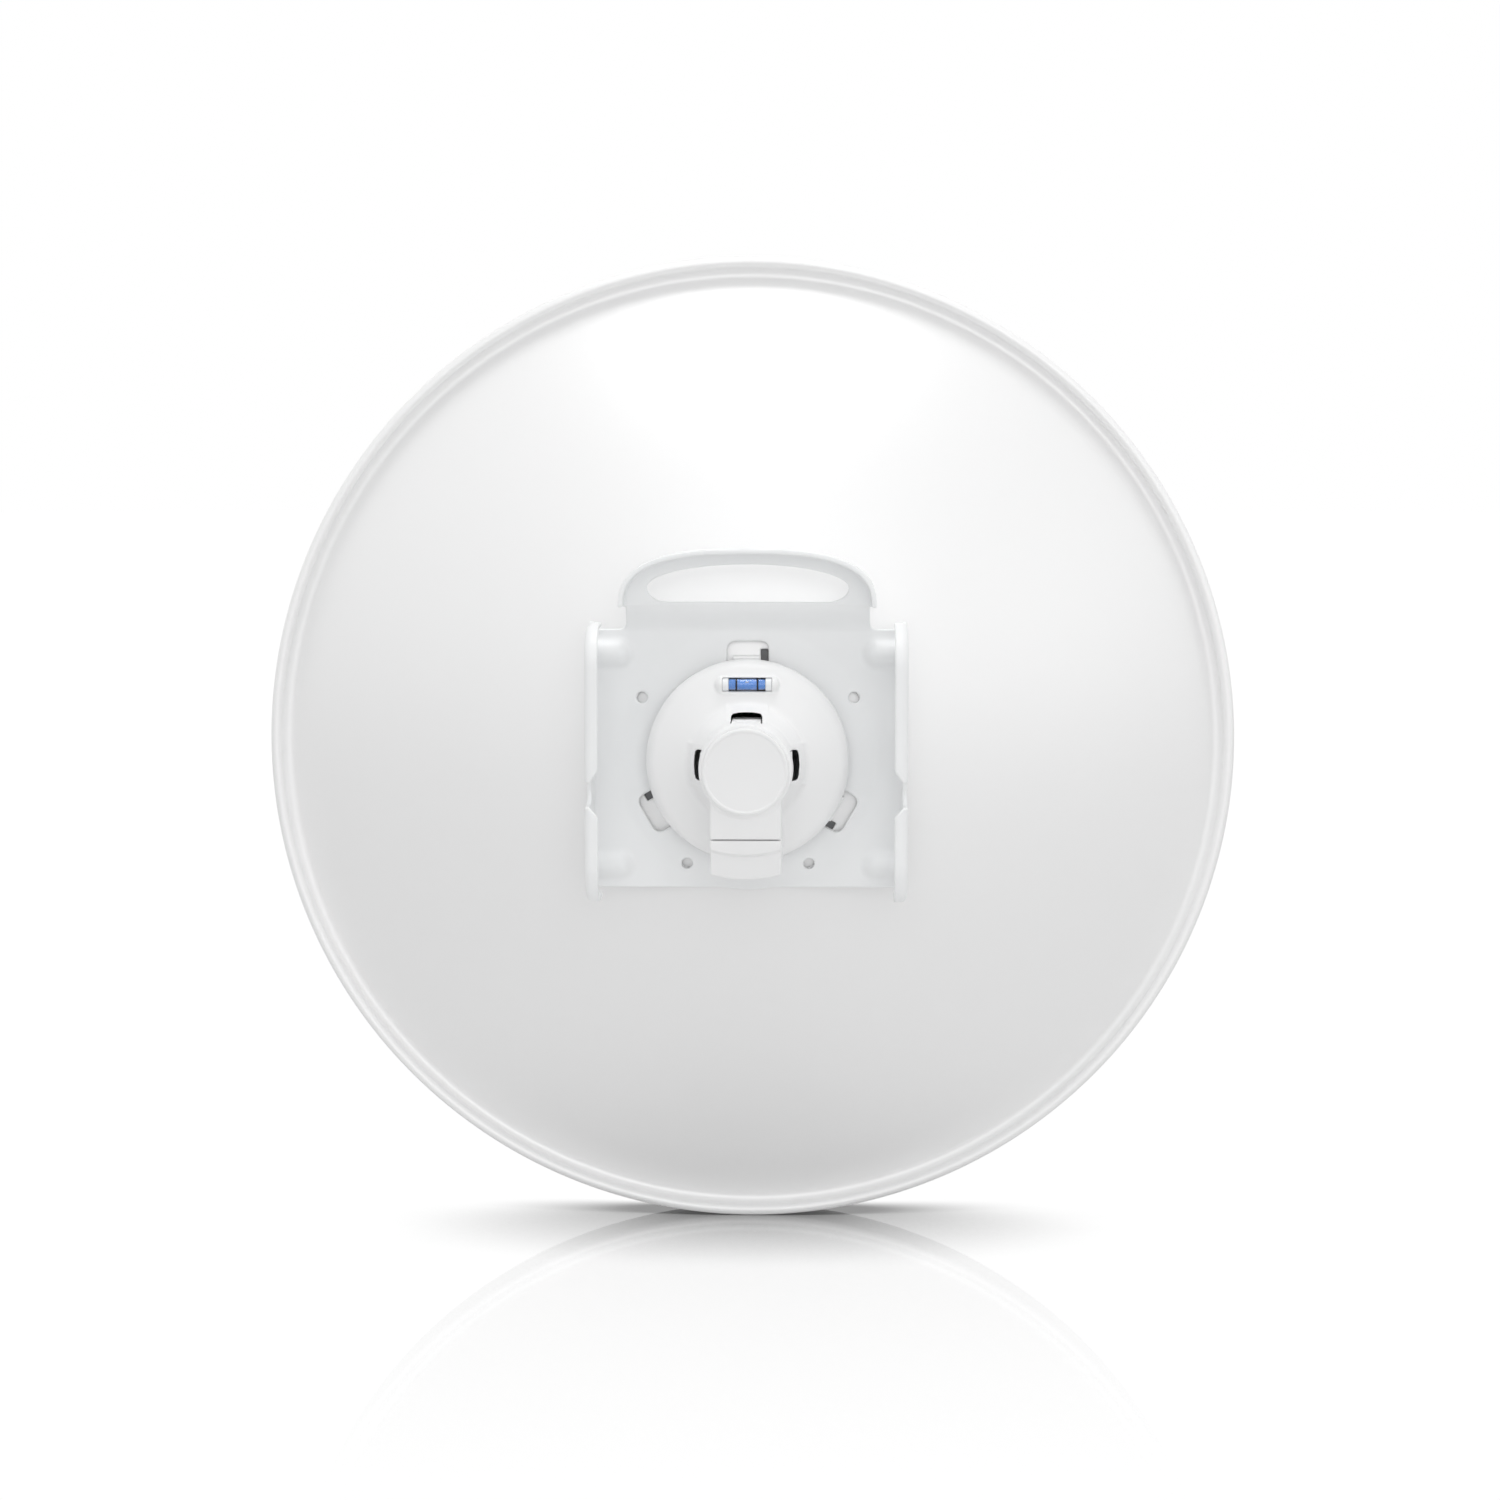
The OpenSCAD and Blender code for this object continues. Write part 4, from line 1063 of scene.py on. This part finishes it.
@dataclass(frozen=True)
class Studio:
    """A glossy white floor, a bright surround, soft lamps and the camera.

    Attributes:
        floor_z: height of the floor.
        place: the camera's place, in metres from the reflector's vertex.
        turn: how far the camera is turned towards -X, in degrees.
        dip: how far the camera looks down, in degrees.
        lens: focal length on a 36 mm wide sensor.
        lamps: the soft lamps, all aimed at the middle of the dish.
        horizon: strength of the surround's light at the horizon.
        zenith: strength of the surround's light overhead.
        bounce: how much of its light the floor gives back to the object.
        shade_reach: how far away a thing still shades the floor, in metres.
        openness: the range of openness over which the floor goes from dark to light.
        shade: the floor's light at the two ends of that range.
        gloss: greatest share of the floor's mirror.
        gloss_from: where along +Y the mirror starts and where it is whole.
        gloss_roughness: least and greatest roughness of the mirror.
    """

    floor_z: float
    place: Point = (0.0325, -1.4778, 0.1550)
    turn: float = 1.226
    dip: float = 5.844
    lens: float = 85.62
    lamps: Tuple[Lamp, ...] = (Lamp("overhead", (0.0, -0.35, 2.2), 0.9, 12.5),
                               Lamp("right_fill", (2.2, -1.4, 0.6), 1.4, 2.5),
                               Lamp("rear_fill", (0.3, -3.2, 1.0), 2.2, 15.0))
    horizon: float = 0.45
    zenith: float = 0.80
    bounce: float = 0.74
    shade_reach: float = 0.13
    openness: Tuple[float, float] = (0.22, 0.76)
    shade: Tuple[float, float] = (0.08, 1.02)
    gloss: float = 0.24
    gloss_from: Tuple[float, float] = (-0.40, 0.08)
    gloss_roughness: Tuple[float, float] = (0.015, 0.025)

    def surround(self) -> None:
        """Sets a surround that is seen as plain white and that lights the object more from above."""
        world = bpy.data.worlds.new("surround")
        bpy.context.scene.world = world
        world.use_nodes = True
        tree = world.node_tree
        back = first_node(tree, "BACKGROUND")
        back.inputs["Color"].default_value = WHITE
        apart = add_node(tree, "SeparateXYZ")
        tree.links.new(add_node(tree, "TexCoord").outputs["Generated"], apart.inputs[0])
        tree.links.new(Finish.ranged(tree, apart.outputs["Z"], 0.0, 1.0, self.horizon, self.zenith),
                       back.inputs["Strength"])
        seen = add_node(tree, "Background", Color=WHITE, Strength=1.0)
        mix = mixed_shader(tree, add_node(tree, "LightPath").outputs["Is Diffuse Ray"], seen.outputs[0],
                           back.outputs[0])
        tree.links.new(mix, first_node(tree, "OUTPUT_WORLD").inputs["Surface"])

    def floor(self) -> None:
        """Lays a large round sheet."""
        sides, rings = 96, 40
        radius = np.concatenate([[0.0], np.geomspace(0.05, 9.0, rings)]) / MM
        turn = np.linspace(0, FULL_TURN, sides, endpoint=False)[:, None]
        points = np.stack([radius * np.cos(turn), radius * np.sin(turn), 0 * radius * turn], axis=-1)
        points = points.reshape(-1, 3)
        row, column = np.meshgrid(np.arange(sides), np.arange(rings), indexing="ij")
        here, there = row * (rings + 1) + column, (row + 1) % sides * (rings + 1) + column
        mesh = bpy.data.meshes.new("floor")
        mesh.from_pydata((points * MM + [0, 0, self.floor_z]).tolist(), [],
                         np.stack([here, here + 1, there + 1, there], axis=-1).reshape(-1, 4).tolist())
        sheet = bpy.data.objects.new("floor", mesh)
        bpy.context.scene.collection.objects.link(sheet)
        mesh.materials.append(self.floor_material())

    def floor_material(self) -> bpy.types.Material:
        """White floor: plain light with a contact shade, under a mirror that fades away before the object.

        Returns:
            A material that shows light times the room's openness near each point, mixed with a sharp gloss,
            and that gives the object a duller diffuse bounce.
        """
        material = bpy.data.materials.new("pale_floor")
        material.use_nodes = True
        tree = material.node_tree
        link = tree.links.new
        shader = first_node(tree, "BSDF_PRINCIPLED")
        shader.inputs["Base Color"].default_value = (self.bounce, self.bounce, self.bounce, 1)
        shader.inputs["Roughness"].default_value = 0.6
        place = add_node(tree, "TexCoord").outputs["Object"]
        apart = add_node(tree, "SeparateXYZ")
        link(place, apart.inputs[0])
        wide = add_node(tree, "AmbientOcclusion", Distance=self.shade_reach)
        wide.samples = 24
        light = add_node(tree, "Emission")
        link(Finish.ranged(tree, wide.outputs["AO"], *self.openness, *self.shade), light.inputs["Strength"])
        gloss = add_node(tree, "BsdfGlossy", Color=WHITE)
        link(Finish.ranged(tree, Finish.noise(tree, place, 30, 2), *NOISE_SPREAD, *self.gloss_roughness),
             gloss.inputs["Roughness"])
        share = Finish.ranged(tree, apart.outputs["Y"], *self.gloss_from, 0.0, self.gloss)
        shine = mixed_shader(tree, share, light.outputs[0], gloss.outputs[0])
        seen = add_node(tree, "LightPath").outputs["Is Camera Ray"]
        mix = mixed_shader(tree, seen, shader.outputs[0], shine)
        link(mix, first_node(tree, "OUTPUT_MATERIAL").inputs["Surface"])
        return material

    def hang(self, lamp: Lamp) -> None:
        """Hangs a lamp that faces the middle of the dish."""
        data = bpy.data.lights.new(lamp.name, "AREA")
        data.size, data.energy = lamp.size, lamp.power
        hung = bpy.data.objects.new(lamp.name, data)
        hung.location = lamp.place
        hung.rotation_euler = (Vector(VERTEX) - Vector(lamp.place)).to_track_quat("-Z", "Y").to_euler()
        bpy.context.scene.collection.objects.link(hung)

    def camera(self) -> None:
        """Sets the camera behind the dish, a little above and to the right of the boresight."""
        data = bpy.data.cameras.new("camera")
        data.lens, data.sensor_width = self.lens, 36.0
        camera = bpy.data.objects.new("camera", data)
        turn, dip = math.radians(self.turn), math.radians(self.dip)
        way = Vector((-math.sin(turn) * math.cos(dip), math.cos(turn) * math.cos(dip), -math.sin(dip)))
        camera.location = Vector(VERTEX) + Vector(self.place)
        camera.rotation_euler = way.to_track_quat("-Z", "Y").to_euler()
        bpy.context.scene.collection.objects.link(camera)
        bpy.context.scene.camera = camera

    def build(self) -> None:
        """Sets up the whole studio and a plain display transform."""
        self.surround()
        self.floor()
        for lamp in self.lamps:
            self.hang(lamp)
        self.camera()
        bpy.context.scene.view_settings.view_transform = "Standard"


def dress_carried_nodes() -> None:
    """Gives every CAD node that stays in view its own finish."""
    for name, finish in CARRIED.items():
        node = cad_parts[name]
        for slot in node.material_slots:
            slot.material = finish.material()
        LOG.info("dressed %s in %s", name, finish.name)


def main() -> None:
    """Builds the object piece by piece, then the studio."""
    logging.basicConfig(level=logging.INFO, format="%(name)s: %(message)s")
    Reflector().build()
    Bracket().build()
    Radio().build()
    Feed().build()
    dress_carried_nodes()
    Studio(floor_z=CAD_BOX[0][2]).build()


if __name__ == "__main__":
    main()
